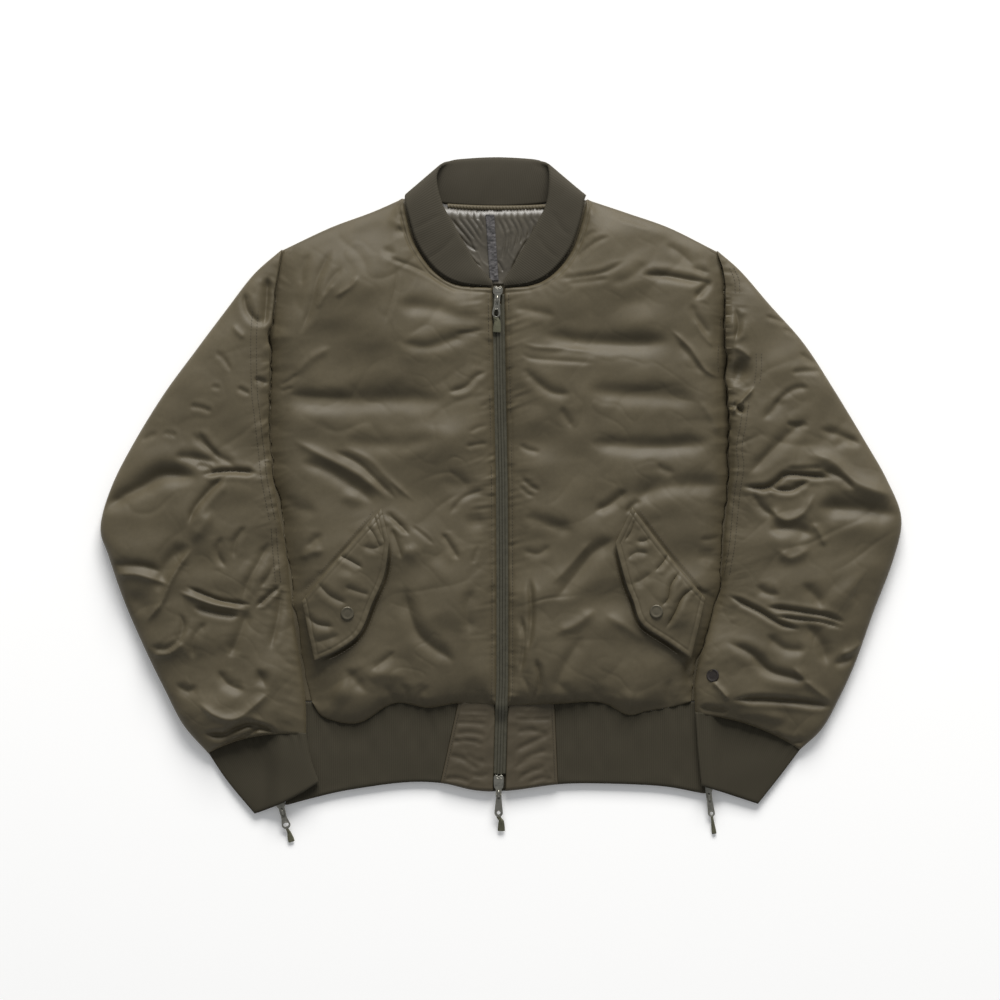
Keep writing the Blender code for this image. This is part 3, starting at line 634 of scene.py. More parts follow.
def spindle_run(
    centres: Array, along: Array, up: Array, size: tuple[float, float, float]
) -> tuple[Array, Array]:
    """Many small rounded stitches as one mesh: a six-sided spindle at each centre.

    Args:
        centres: (n, 3) middles.
        along: (n, 3) unit directions of the stitches.
        up: (n, 3) unit directions out of the cloth.
        size: length, width and height of one.

    Returns:
        Points and faces of all of them.
    """
    side = np.cross(up, along)
    side /= np.maximum(np.linalg.norm(side, axis=1, keepdims=True), 1e-9)
    turn = np.arange(6) * np.pi / 3
    ring = np.column_stack((np.zeros(6), np.cos(turn), np.sin(turn)))
    shape = [np.array([[-0.5, 0, -0.2]])]
    for place, swell in ((-0.38, 0.8), (0.0, 1.0), (0.38, 0.8)):
        shape.append(ring * (1, swell / 2, swell / 2) + (place, 0, 0))
    shape = np.vstack(shape + [np.array([[0.5, 0, -0.2]])]) * size
    points = (
        centres[:, None]
        + shape[None, :, 0:1] * along[:, None]
        + shape[None, :, 1:2] * side[:, None]
        + shape[None, :, 2:3] * up[:, None]
    )
    around = np.arange(6)
    after = (around + 1) % 6
    tri = [np.column_stack((np.zeros(6, int), 1 + after, 1 + around))]
    tri += [
        np.vstack((
            np.column_stack((a + around, a + after, a + 6 + after)),
            np.column_stack((a + around, a + 6 + after, a + 6 + around)),
        ))
        for a in (1, 7)
    ]
    tri.append(np.column_stack((13 + around, 13 + after, np.full(6, 19))))
    faces = np.vstack(tri)[None] + 20 * np.arange(len(centres))[:, None, None]
    return points.reshape(-1, 3), faces.reshape(-1, 3)


class Ground:
    """Height of a finished dense piece at any plan point, from its highest points on a raster."""

    def __init__(self, points: Array, pitch: float = 2.0) -> None:
        """Keeps the highest point in each cell, and fills the empty cells from their neighbours.

        Args:
            points: (n, 3) points of the piece.
            pitch: size of a cell.
        """
        self.pitch, self.low = pitch, points[:, :2].min(0) - 4 * pitch
        cells = ((points[:, :2] - self.low) / pitch).round().astype(int)
        shape = cells.max(0) + 5
        self.map = np.full(shape, -1e3)
        np.maximum.at(self.map, (cells[:, 0], cells[:, 1]), points[:, 2])
        for _ in range(6):
            near = [np.roll(self.map, step, axis) for axis in (0, 1) for step in (1, -1)]
            self.map = np.where(self.map > -900, self.map, np.max(near, axis=0))

    def height(self, plan: Array) -> Array:
        """Bilinear reading at (n, 2) plan points.

        Args:
            plan: (n, 2) plan points.

        Returns:
            Height at each point.
        """
        place = (plan - self.low) / self.pitch
        place = np.clip(place, 0, np.array(self.map.shape) - 1.001)
        i, j = place.astype(int).T
        u, v = (place - place.astype(int)).T
        m = self.map
        near = m[i, j] * (1 - u) + m[i + 1, j] * u
        far = m[i, j + 1] * (1 - u) + m[i + 1, j + 1] * u
        return near * (1 - v) + far * v

    def normal(self, plan: Array) -> Array:
        """Unit normals at plan points, from the raster's slopes over three cells.

        Args:
            plan: (n, 2) plan points.

        Returns:
            Unit normal at each point.
        """
        step = 1.5 * self.pitch
        x = (self.height(plan + (step, 0)) - self.height(plan - (step, 0))) / (2 * step)
        y = (self.height(plan + (0, step)) - self.height(plan - (0, step))) / (2 * step)
        out = np.column_stack((-x, -y, np.ones(len(plan))))
        return out / np.linalg.norm(out, axis=1, keepdims=True)


class Stitching:
    """Rows of topstitching, gathered from every seam into one mesh."""

    def __init__(self) -> None:
        """Starts with no rows."""
        self.points: list[Array] = []
        self.faces: list[Array] = []

    def row(self, line: Array, ground: Ground, pitch: float = 3.4, lift: float = 0.1) -> None:
        """Adds one row of stitches along a plan line, lying on the ground.

        Args:
            line: plan line of three or more points.
            ground: what the row lies on.
            pitch: length from one stitch to the next.
            lift: height of a stitch's middle over the ground.
        """
        count = max(2, int(length_of(line) / pitch))
        plan = smooth(line, (np.arange(count) + 0.5) / count)
        run = np.gradient(plan, axis=0)
        up = ground.normal(plan)
        along = np.column_stack((run, np.zeros(len(run))))
        along -= (along * up).sum(1, keepdims=True) * up
        along /= np.linalg.norm(along, axis=1, keepdims=True)
        centres = np.column_stack((plan, ground.height(plan) + lift))
        points, faces = spindle_run(centres, along, up, (0.78 * pitch, 0.62, 0.5))
        self.faces.append(faces + sum(len(p) for p in self.points))
        self.points.append(points)

    def build(self, name: str) -> bpy.types.Object:
        """The rows as one piece."""
        made = write_mesh(name, np.vstack(self.points), [np.vstack(self.faces)], THREAD)
        return settle(made)


# ---------------------------------------------------------------- shader groups


def link(tree: bpy.types.NodeTree, source: bpy.types.NodeSocket, target: bpy.types.NodeSocket) -> None:
    """Joins two sockets."""
    tree.links.new(source, target)


def math_node(
    tree: bpy.types.NodeTree, operation: str, first: object, second: object = 0.0
) -> bpy.types.NodeSocket:
    """Math node whose inputs are numbers or sockets, as its output socket.

    Args:
        tree: where the node goes.
        operation: the node's operation.
        first: number or socket.
        second: number or socket.

    Returns:
        The output socket.
    """
    node = tree.nodes.new("ShaderNodeMath")
    node.operation = operation
    for socket, value in zip(node.inputs, (first, second)):
        if isinstance(value, bpy.types.NodeSocket):
            link(tree, value, socket)
        else:
            socket.default_value = value
    return node.outputs[0]


def new_group(
    name: str, inputs: Sequence[tuple[str, str, object]], outputs: Sequence[tuple[str, str]]
) -> tuple[bpy.types.NodeTree, bpy.types.Node, bpy.types.Node]:
    """Empty shader group with its sockets.

    Args:
        name: the group's name.
        inputs: name, socket type and default value of each.
        outputs: name and socket type of each.

    Returns:
        The tree, its input node and its output node.
    """
    tree = bpy.data.node_groups.new(name, "ShaderNodeTree")
    for label, kind, value in inputs:
        tree.interface.new_socket(label, in_out="INPUT", socket_type=kind).default_value = value
    for label, kind in outputs:
        tree.interface.new_socket(label, in_out="OUTPUT", socket_type=kind)
    return tree, tree.nodes.new("NodeGroupInput"), tree.nodes.new("NodeGroupOutput")


def scaled_place(tree: bpy.types.NodeTree, scale: tuple[float, float, float]) -> bpy.types.NodeSocket:
    """Object coordinates, scaled.

    Args:
        tree: where the nodes go.
        scale: factor along each axis.

    Returns:
        The vector socket.
    """
    place = tree.nodes.new("ShaderNodeTexCoord")
    mapping = tree.nodes.new("ShaderNodeMapping")
    mapping.inputs["Scale"].default_value = scale
    link(tree, place.outputs["Object"], mapping.inputs["Vector"])
    return mapping.outputs["Vector"]


def noise_node(
    tree: bpy.types.NodeTree, place: bpy.types.NodeSocket, scale: float, detail: float = 2.0
) -> bpy.types.NodeSocket:
    """Noise texture's value.

    Args:
        tree: where the node goes.
        place: coordinates to read.
        scale: cells in a metre.
        detail: octaves of finer noise.

    Returns:
        The output socket.
    """
    node = tree.nodes.new("ShaderNodeTexNoise")
    node.inputs["Scale"].default_value = scale
    node.inputs["Detail"].default_value = detail
    link(tree, place, node.inputs["Vector"])
    return node.outputs["Fac"]


def bands_node(
    tree: bpy.types.NodeTree, place: bpy.types.NodeSocket, direction: str, scale: float
) -> bpy.types.NodeSocket:
    """Even bands along an axis: a sine wave with scale bands in about 0.3 of a metre.

    Args:
        tree: where the node goes.
        place: coordinates to read.
        direction: axis that crosses the bands.
        scale: how close the bands are.

    Returns:
        The output socket.
    """
    node = tree.nodes.new("ShaderNodeTexWave")
    node.bands_direction = direction
    node.inputs["Scale"].default_value = scale
    node.inputs["Distortion"].default_value = 0.0
    link(tree, place, node.inputs["Vector"])
    return node.outputs["Fac"]


def weave_group() -> bpy.types.NodeTree:
    """Satin weave: long floats along y, crossed by faint picks, and a slow drift of the yarn.

    Returns:
        The group, made once.
    """
    tree = bpy.data.node_groups.get("satin_weave")
    if tree:
        return tree
    tree, given, out = new_group(
        "satin_weave", (("Strength", "NodeSocketFloat", 1.0),),
        (("Height", "NodeSocketFloat"), ("Tone", "NodeSocketFloat")),
    )
    place = scaled_place(tree, (1, 1, 1))
    floats = bands_node(tree, place, "X", 700.0)
    picks = bands_node(tree, place, "Y", 420.0)
    floats = math_node(tree, "MULTIPLY", floats, 0.7)
    thread = math_node(tree, "ADD", floats, math_node(tree, "MULTIPLY", picks, 0.3))
    drift = noise_node(tree, scaled_place(tree, (1.0, 0.22, 1.0)), 900.0, 3.0)
    height = math_node(tree, "ADD", thread, math_node(tree, "MULTIPLY", drift, 0.6))
    link(tree, math_node(tree, "MULTIPLY", height, given.outputs["Strength"]), out.inputs["Height"])
    broad = noise_node(tree, place, 26.0, 4.0)
    fine = noise_node(tree, place, 240.0, 2.0)
    broad = math_node(tree, "MULTIPLY", broad, 0.7)
    tone = math_node(tree, "ADD", broad, math_node(tree, "MULTIPLY", fine, 0.3))
    link(tree, tone, out.inputs["Tone"])
    return tree


def knit_group() -> bpy.types.NodeTree:
    """Fine knit: loops along each rib, read from the pattern map, whose x runs across the ribs.

    Returns:
        The group, made once.
    """
    tree = bpy.data.node_groups.get("knit_loops")
    if tree:
        return tree
    tree, given, out = new_group(
        "knit_loops", (("Strength", "NodeSocketFloat", 1.0),),
        (("Height", "NodeSocketFloat"), ("GrooveShade", "NodeSocketFloat")),
    )
    uv = tree.nodes.new("ShaderNodeUVMap")
    uv.uv_map = "pattern"
    ribs = bands_node(tree, uv.outputs["UV"], "X", 130.0)
    loops = bands_node(tree, uv.outputs["UV"], "Y", 290.0)
    fuzz = noise_node(tree, uv.outputs["UV"], 1500.0, 2.0)
    height = math_node(tree, "ADD", ribs, math_node(tree, "MULTIPLY", loops, 0.35))
    height = math_node(tree, "ADD", height, math_node(tree, "MULTIPLY", fuzz, 0.5))
    link(tree, math_node(tree, "MULTIPLY", height, given.outputs["Strength"]), out.inputs["Height"])
    # the rib bands, which the knits use for painted shade in the grooves and a little painted light on the
    # ribs
    link(tree, ribs, out.inputs["GrooveShade"])
    return tree


def place_group(tree: bpy.types.NodeTree, group: bpy.types.NodeTree, strength: float) -> bpy.types.Node:
    """A shader group in a material, with its own strength.

    Args:
        tree: where the group goes.
        group: the shader group.
        strength: how strong its relief is.

    Returns:
        The group node.
    """
    node = tree.nodes.new("ShaderNodeGroup")
    node.node_tree = group
    node.inputs["Strength"].default_value = strength
    return node


def ramp_node(
    tree: bpy.types.NodeTree, value: bpy.types.NodeSocket, stops: Sequence[tuple[float, tuple[float, ...]]]
) -> bpy.types.NodeSocket:
    """Colour ramp over a value.

    Args:
        tree: where the node goes.
        value: socket that drives the ramp.
        stops: position and colour of each stop.

    Returns:
        The colour socket.
    """
    node = tree.nodes.new("ShaderNodeValToRGB")
    while len(node.color_ramp.elements) < len(stops):
        node.color_ramp.elements.new(0.5)
    for element, (place, colour) in zip(node.color_ramp.elements, stops):
        element.position = place
        element.color = (*colour, 1)
    link(tree, value, node.inputs["Fac"])
    return node.outputs["Color"]


def scaled_colour(colour: Sequence[float], by: float) -> tuple[float, ...]:
    """A colour made lighter or darker."""
    return tuple(min(1.0, c * by) for c in colour)


# ---------------------------------------------------------------- finishes


@dataclass(frozen=True)
class Finish:
    """What a piece is made of: its slot, its linear colour and how it takes the light."""

    name: str
    slot: str
    colour: tuple[float, float, float]
    roughness: float
    metallic: float = 0.0
    sheen: float = 0.0
    vary: float = 0.12
    bump: float = 0.00002
    shine: float = 0.35
    glow: float = 0.0

    def material(self) -> bpy.types.Material:
        """The finish as a material, made once.

        Returns:
            The material.
        """
        made = bpy.data.materials.get(self.name)
        if made is None:
            made = bpy.data.materials.new(self.name)
            made.use_nodes = True
            shader = made.node_tree.nodes["Principled BSDF"]
            shader.inputs["Roughness"].default_value = self.roughness
            shader.inputs["Metallic"].default_value = self.metallic
            shader.inputs["Specular IOR Level"].default_value = self.shine
            shader.inputs["Base Color"].default_value = (*self.colour, 1)
            shader.inputs["Emission Color"].default_value = (*self.colour, 1)
            shader.inputs["Emission Strength"].default_value = self.glow
            if self.sheen:
                shader.inputs["Sheen Weight"].default_value = self.sheen
                shader.inputs["Sheen Roughness"].default_value = 0.45
                shader.inputs["Sheen Tint"].default_value = (*scaled_colour(self.colour, 5.0), 1)
            self.detail(made.node_tree, shader)
        return made

    def detail(self, tree: bpy.types.NodeTree, shader: bpy.types.Node) -> None:
        """Fine grain: a little noise in the colour and the surface.

        Args:
            tree: the material's node tree.
            shader: its Principled BSDF.
        """
        place = scaled_place(tree, (1, 1, 1))
        broad = noise_node(tree, place, 180.0, 3.0)
        darker, lighter = (scaled_colour(self.colour, 1 + by * self.vary) for by in (-1, 1))
        stops = ((0.3, darker), (0.7, lighter))
        link(tree, ramp_node(tree, broad, stops), shader.inputs["Base Color"])
        self.raise_by(tree, shader, noise_node(tree, place, 2400.0, 2.0))

    def raise_by(
        self, tree: bpy.types.NodeTree, shader: bpy.types.Node, height: bpy.types.NodeSocket
    ) -> None:
        """Feeds a height into the shader's normal.

        Args:
            tree: the material's node tree.
            shader: its Principled BSDF.
            height: socket with the relief.
        """
        bump = tree.nodes.new("ShaderNodeBump")
        bump.inputs["Distance"].default_value = self.bump
        link(tree, height, bump.inputs["Height"])
        link(tree, bump.outputs["Normal"], shader.inputs["Normal"])


@dataclass(frozen=True)
class Satin(Finish):
    """Shiny nylon satin: long floats catch the light, and rubbed areas are a little duller."""

    def detail(self, tree: bpy.types.NodeTree, shader: bpy.types.Node) -> None:
        """Weave relief, slow changes of tone and gloss.

        Args:
            tree: the material's node tree.
            shader: its Principled BSDF.
        """
        weave = place_group(tree, weave_group(), 1.0)
        stops = (
            (0.32, scaled_colour(self.colour, 1 - self.vary)),
            (0.52, self.colour),
            (0.70, scaled_colour(self.colour, 1 + self.vary)),
        )
        link(tree, ramp_node(tree, weave.outputs["Tone"], stops), shader.inputs["Base Color"])
        gloss = math_node(tree, "MULTIPLY", weave.outputs["Tone"], 0.16)
        link(tree, math_node(tree, "ADD", gloss, self.roughness - 0.08), shader.inputs["Roughness"])
        self.raise_by(tree, shader, weave.outputs["Height"])


@dataclass(frozen=True)
class Knit(Finish):
    """Ribbed knit: matt, with painted shade in the grooves between the ribs and a little painted light on the
    ribs.
    """

    def detail(self, tree: bpy.types.NodeTree, shader: bpy.types.Node) -> None:
        """Loop relief, with painted shade in the grooves and a little painted light on the ribs.

        Args:
            tree: the material's node tree.
            shader: its Principled BSDF.
        """
        knit = place_group(tree, knit_group(), 1.0)
        # painted shade: the knit darker in the grooves between the ribs, and a little painted light: lighter
        # on the ribs
        stops = (
            (0.0, scaled_colour(self.colour, 1 - self.vary)),
            (0.6, self.colour),
            (1.0, scaled_colour(self.colour, 1 + 0.5 * self.vary)),
        )
        link(tree, ramp_node(tree, knit.outputs["GrooveShade"], stops), shader.inputs["Base Color"])
        self.raise_by(tree, shader, knit.outputs["Height"])


SATIN = Satin("nylon_satin", "satin", (0.086, 0.070, 0.0405), 0.56, sheen=0.12, vary=0.11, bump=0.00003)
FACING = Satin("facing_satin", "satin", (0.065, 0.052, 0.031), 0.56, sheen=0.1, vary=0.10, bump=0.00003)
# for the knits, vary sets how deep the painted shade in the rib grooves is, with half as much painted light
# on the ribs
KNIT = Knit(
    "rib_knit_wool", "rib_knit", (0.046, 0.040, 0.0265), 0.88, sheen=0.15, vary=0.10, bump=0.00012, shine=0.2
)
COLLAR_KNIT = Knit(
    "collar_knit", "rib_knit", (0.044, 0.0375, 0.0245), 0.82, sheen=0.2, vary=0.07, bump=0.00008
)
LINING = Satin(
    "crinkled_lining", "lining", (0.062, 0.053, 0.037), 0.40, sheen=0.1, vary=0.25, bump=0.00002, shine=0.7
)
TAPE = Finish("woven_zip_tape", "zip_tape", (0.056, 0.052, 0.035), 0.72, sheen=0.2, vary=0.18, bump=0.00012)
CHAIN = Finish("coil_teeth", "zip_teeth", (0.060, 0.056, 0.040), 0.42, vary=0.10)
METAL = Finish("gunmetal", "dark_metal", (0.30, 0.29, 0.25), 0.30, metallic=0.9, vary=0.22, bump=0.00003)
CAP = Finish("painted_cap", "snap_cap", (0.105, 0.092, 0.064), 0.34, metallic=0.35, vary=0.12)
CORD = Finish("pull_cord", "pull_tail", (0.100, 0.098, 0.062), 0.75, sheen=0.25, vary=0.20, bump=0.0002)
PATCH = Finish("sleeve_patch", "badge", (0.018, 0.014, 0.012), 0.65, sheen=0.2, vary=0.25, bump=0.0002)
THREAD = Finish("sewing_thread", "satin", (0.060, 0.050, 0.034), 0.55, sheen=0.2, vary=0.15)
SPECKLED = Finish("speckled_tape", "zip_tape", (0.072, 0.068, 0.068), 0.7, sheen=0.2, vary=0.45, bump=0.0002)
FLOOR = Finish("floor_paper", "floor", (0.98, 0.98, 0.98), 0.95, vary=0.0, bump=0.0, glow=0.08)


# ---------------------------------------------------------------- folds
# width, depth, shoulder, lean, sharp, then x and y of each point along the fold

FRONT_CREASES = {
    Side.RIGHT: creases(
        # from the neck and shoulder
        (2.2, 2.8, 0.35, -0.5, 1, -131, 277, -120, 270, -98, 262, -76, 251, -44, 231),
        (4.5, 3, 0.4, 0.3, 1.4, -119, 309, -113, 303, -105, 298),
        (5, -2.2, 0, 0, 1.6, -127, 318, -118, 312, -108, 303),
        (5, 2.2, 0.3, -0.4, 1.6, -134, 285, -126, 279, -116, 276),
        (2.4, 1, 0.3, 0.5, 1.2, -117, 262, -118, 240, -125, 215, -131, 196),
        (4, 2.8, 0.45, 0.2, 1.3, -190, 283, -205, 250, -213, 217, -226, 186),
        (3.2, -2, 0, 0, 1.5, -159, 253, -168, 240, -187, 228),
        (3.4, 1.6, 0.3, 0.3, 1.4, -177, 262, -190, 248, -200, 228),
        (3, -1.5, 0, 0, 1.5, -186, 243, -197, 231, -207, 214),
        (4, 1.8, 0.3, 0, 1.5, -215, 278, -222, 262, -224, 240),
        # wide bands across the chest
        (9, 3, 0.2, -0.4, 2, -118, 219, -75, 215, -45, 206, -18, 205),
        (6.5, 2.4, 0.25, 0, 1.8, -118, 178, -82, 172, -50, 182, -20, 190),
        (2.4, 1.8, 0.3, -0.4, 1.1, -52, 186, -36, 189, -20, 191),
        (3.2, 3, 0.45, -0.5, 1.2, -60, 121, -40, 127, -28, 139, -14, 146),
        (12, 4, 0.15, 0.4, 2, -250, 114, -190, 111, -120, 113, -58, 112),
        (5, 1.6, 0.3, 0.4, 1.4, -240, 119, -200, 116, -165, 115),
        (2.6, 1.8, 0.4, 0, 1.2, -249, 129, -238, 134, -228, 142),
        (2.4, 1.5, 0.4, 0, 1.2, -248, 121, -240, 125, -232, 126),
        (5, -1.6, 0, 0, 1.8, -232, 140, -215, 158, -190, 172),
        (9, 2, 0.15, 0, 2, -180, 68, -120, 62, -62, 70),
        (2.6, 1.8, 0.4, -0.4, 1.2, -40, 60, -26, 63, -14, 64),
        (2.6, 1.5, 0.4, -0.4, 1.2, -36, 76, -25, 82, -14, 84),
        (2.4, 1.2, 0.4, 0.3, 1.2, -24, 104, -18, 107, -13, 107),
        # long diagonals to the pocket
        (5, -3.2, 0, 0, 1.5, -234, 68, -196, 48, -160, 29, -127, 3),
        (7.5, 3.4, 0.15, 0, 1.8, -226, 44, -192, 33, -162, 13, -140, -3),
        (2.8, 2.6, 0.3, 0.5, 1.2, -190, 57, -160, 42, -142, 25, -117, 1),
        (3.4, -1.8, 0, 0, 1.5, -178, 61, -148, 46, -128, 26, -97, -1),
        (3, 2.2, 0.35, 0.3, 1.3, -58, -16, -42, 3, -17, 13),
        (9, 2.2, 0.1, 0, 2, -44, -22, -30, -24, -14, -26),
        (10, 2, 0.1, 0, 2, -70, 22, -45, 18, -20, 20),
        (8, -2, 0, 0, 2, -182, 0, -165, 4, -148, -2),
        # round the top of the pocket and down the front
        (3, 3, 0.5, -0.4, 1.1, -130, -13, -117, -24, -102, -39),
        (3.2, 2.2, 0.35, -0.3, 1.2, -124, -30, -117, -47, -111, -66),
        (2.4, 1.3, 0.4, 0.2, 1.3, -101, -28, -88, -38, -74, -50),
        (9, -2.2, 0, 0, 2, -112, -52, -102, -58, -94, -48),
        (3.4, 3, 0.4, 0.4, 1.2, -67, -36, -58, -49, -47, -67),
        (11, -2, 0, 0, 2, -82, -66, -68, -80, -54, -88),
        (2.4, 1.6, 0.3, 0.4, 1.2, -25, -50, -29, -62, -32, -72),
        (6.5, 3.4, 0.35, 0.5, 1.5, -109, -96, -101, -130, -88, -155, -50, -182),
        (6, 2.4, 0.3, 0, 1.6, -30, -98, -38, -120, -34, -150),
        (4, 2.2, 0.4, -0.3, 1.4, -146, -191, -134, -182, -118, -169),
        (9, -3, 0, 0, 1.8, -152, -199, -128, -195, -103, -198),
        (8, 3.6, 0.2, 0, 1.7, -176, -188, -162, -202, -150, -218),
        (13, -3, 0, 0, 2, -192, -212, -178, -217, -166, -220),
        (5, 2.6, 0.3, 0, 1.5, -132, -206, -124, -218, -120, -232),
        (4.5, 2.4, 0.3, 0, 1.5, -112, -204, -106, -218, -110, -236),
        (5.5, 2.6, 0.3, 0, 1.5, -80, -206, -92, -220, -86, -236),
        (4, 2, 0.3, 0.3, 1.3, -224, -205, -210, -200, -196, -186),
        # beside the sleeve
        (5, 2.4, 0.4, 0, 1.6, -221, -54, -208, -44, -200, -36),
        (5, -2, 0, 0, 1.8, -228, -66, -212, -58, -196, -56),
        (4, 2, 0.4, 0, 1.5, -229, -109, -213, -93, -198, -77),
        (8, 2, 0.2, 0, 1.8, -244, 6, -230, -8, -204, -14),
    ),
    Side.LEFT: creases(
        # from the neck and shoulder
        (2.6, 2.2, 0.5, 0.4, 1.1, 60, 248, 88, 251, 116, 256, 140, 269),
        (2.4, 1.8, 0.5, 0.3, 1.2, 80, 268, 92, 279, 107, 290, 122, 297),
        (2.2, 1.4, 0.5, 0.2, 1.2, 85, 284, 95, 296, 108, 303),
        (3, 1.6, 0.4, 0.2, 1.4, 72, 243, 100, 246, 122, 249),
        (2.4, 1.4, 0.4, 0, 1.2, 130, 317, 148, 314, 170, 306),
        (4.5, 1.8, 0.4, 0.2, 1.5, 184, 288, 201, 278, 216, 264),
        (6, 1.8, 0.2, 0, 1.8, 122, 243, 145, 250, 166, 268),
        (4, 4.2, 0.45, 0.5, 1.3, 156, 253, 186, 252, 214, 247, 234, 245),
        (4, 5, 0.35, -0.3, 1.4, 217, 225, 226, 236, 238, 248),
        (5, 2.6, 0.3, 0, 1.5, 236, 278, 241, 266, 243, 254),
        (4, 2.4, 0.4, 0.3, 1.4, 214, 262, 224, 258, 236, 256),
        # wide bands across the chest
        (5, 2, 0.3, -0.3, 1.6, 14, 216, 40, 212, 62, 206),
        (9, 3.6, 0.18, 0.2, 2, 44, 186, 90, 178, 140, 176, 192, 178),
        (2.4, -1.6, 0, 0, 1.5, 22, 178, 38, 172, 70, 170, 106, 166),
        (2.4, 1.6, 0.3, -0.4, 1.2, 20, 169, 32, 160, 62, 157, 108, 154),
        (5, 2.8, 0.25, -0.2, 1.5, 24, 149, 40, 133, 58, 121, 80, 119),
        (11, 3.8, 0.15, 0.2, 2, 94, 124, 140, 119, 186, 117, 222, 110),
        (2.6, -3, 0, 0, 1.3, 189, 193, 213, 170, 229, 147, 248, 136),
        (4, 2, 0, 0, 1.6, 197, 178, 216, 156, 228, 140),
        (2.2, -1.8, 0, 0, 1.3, 216, 204, 227, 185, 240, 171),
        (4, 2.2, 0.3, 0.2, 1.5, 213, 222, 219, 206, 236, 184),
        (4.5, -1.6, 0, 0, 1.8, 222, 112, 236, 94, 246, 74),
        (4, 1.8, 0.3, 0.3, 1.5, 66, 106, 72, 94, 82, 80),
        (9, 3.8, 0.15, 0.3, 2, 96, 65, 150, 61, 200, 62, 240, 65),
        (2.6, 1.8, 0.4, 0.2, 1.2, 20, 63, 30, 57, 44, 54),
        (2.6, 2, 0.4, 0.2, 1.2, 22, 27, 32, 17, 44, 10),
        (2.2, 1.6, 0.4, 0.2, 1.2, 20, 18, 28, 9, 38, 4),
        (4, 1.6, 0.3, 0, 1.6, 172, 41, 182, 35, 196, 30),
        (12, 5, 0.2, 0.4, 1.8, 146, -2, 170, 12, 205, 17, 250, 18),
        (4.5, 2.8, 0.35, 0.3, 1.4, 104, -12, 122, -4, 142, 12),
        (3.2, 2.2, 0.35, 0.3, 1.3, 140, -16, 147, -6, 158, 0),
        (7, 2.2, 0.2, 0, 1.8, 24, -18, 50, -24, 82, -36),
        # down the front
        (8, 3.6, 0.3, 0.2, 1.6, 60, -112, 82, -86, 104, -58, 130, -42),
        (5, -2, 0, 0, 1.6, 56, -94, 76, -74, 102, -44),
        (4, 1.8, 0.3, 0, 1.5, 24, -56, 42, -60, 56, -50),
        (3, 6, 0.4, 0.3, 1.1, 32, -86, 34, -128, 30, -172),
        (2.8, 5, 0.4, 0, 1.1, 22, -128, 26, -158, 21, -196),
        (3.4, 4.6, 0.35, 0, 1.2, 39, -176, 43, -204, 34, -230),
        (3, 2.4, 0.3, 0, 1.3, 24, -196, 31, -214, 27, -232),
        (6.5, -2.6, 0, 0, 1.7, 60, -149, 84, -139, 106, -122),
        (7, 2.4, 0.25, 0.3, 1.7, 92, -152, 72, -184, 58, -218),
        (5, -1.6, 0, 0, 1.8, 116, -128, 140, -142, 164, -158),
        (6, 2.6, 0.3, 0, 1.5, 192, -198, 188, -212, 192, -232),
        (7, 2.4, 0.25, 0, 1.6, 100, -206, 108, -218, 114, -232),
        (6, 2.2, 0.25, 0, 1.6, 62, -204, 74, -214, 86, -228),
        (9, -2.4, 0, 0, 1.9, 132, -214, 148, -224, 166, -220),
        # beside the sleeve
        (4, 3.4, 0.3, 0, 1.4, 217, -176, 209, -192, 216, -208),
        (3, 2.2, 0.4, 0.3, 1.2, 216, -98, 228, -104, 244, -112),
        (3.4, 1.8, 0.3, 0.3, 1.4, 222, -44, 234, -44, 248, -40),
        (9, 2.6, 0.1, 0, 1.9, 218, -66, 234, -62, 246, -70),
    ),
}
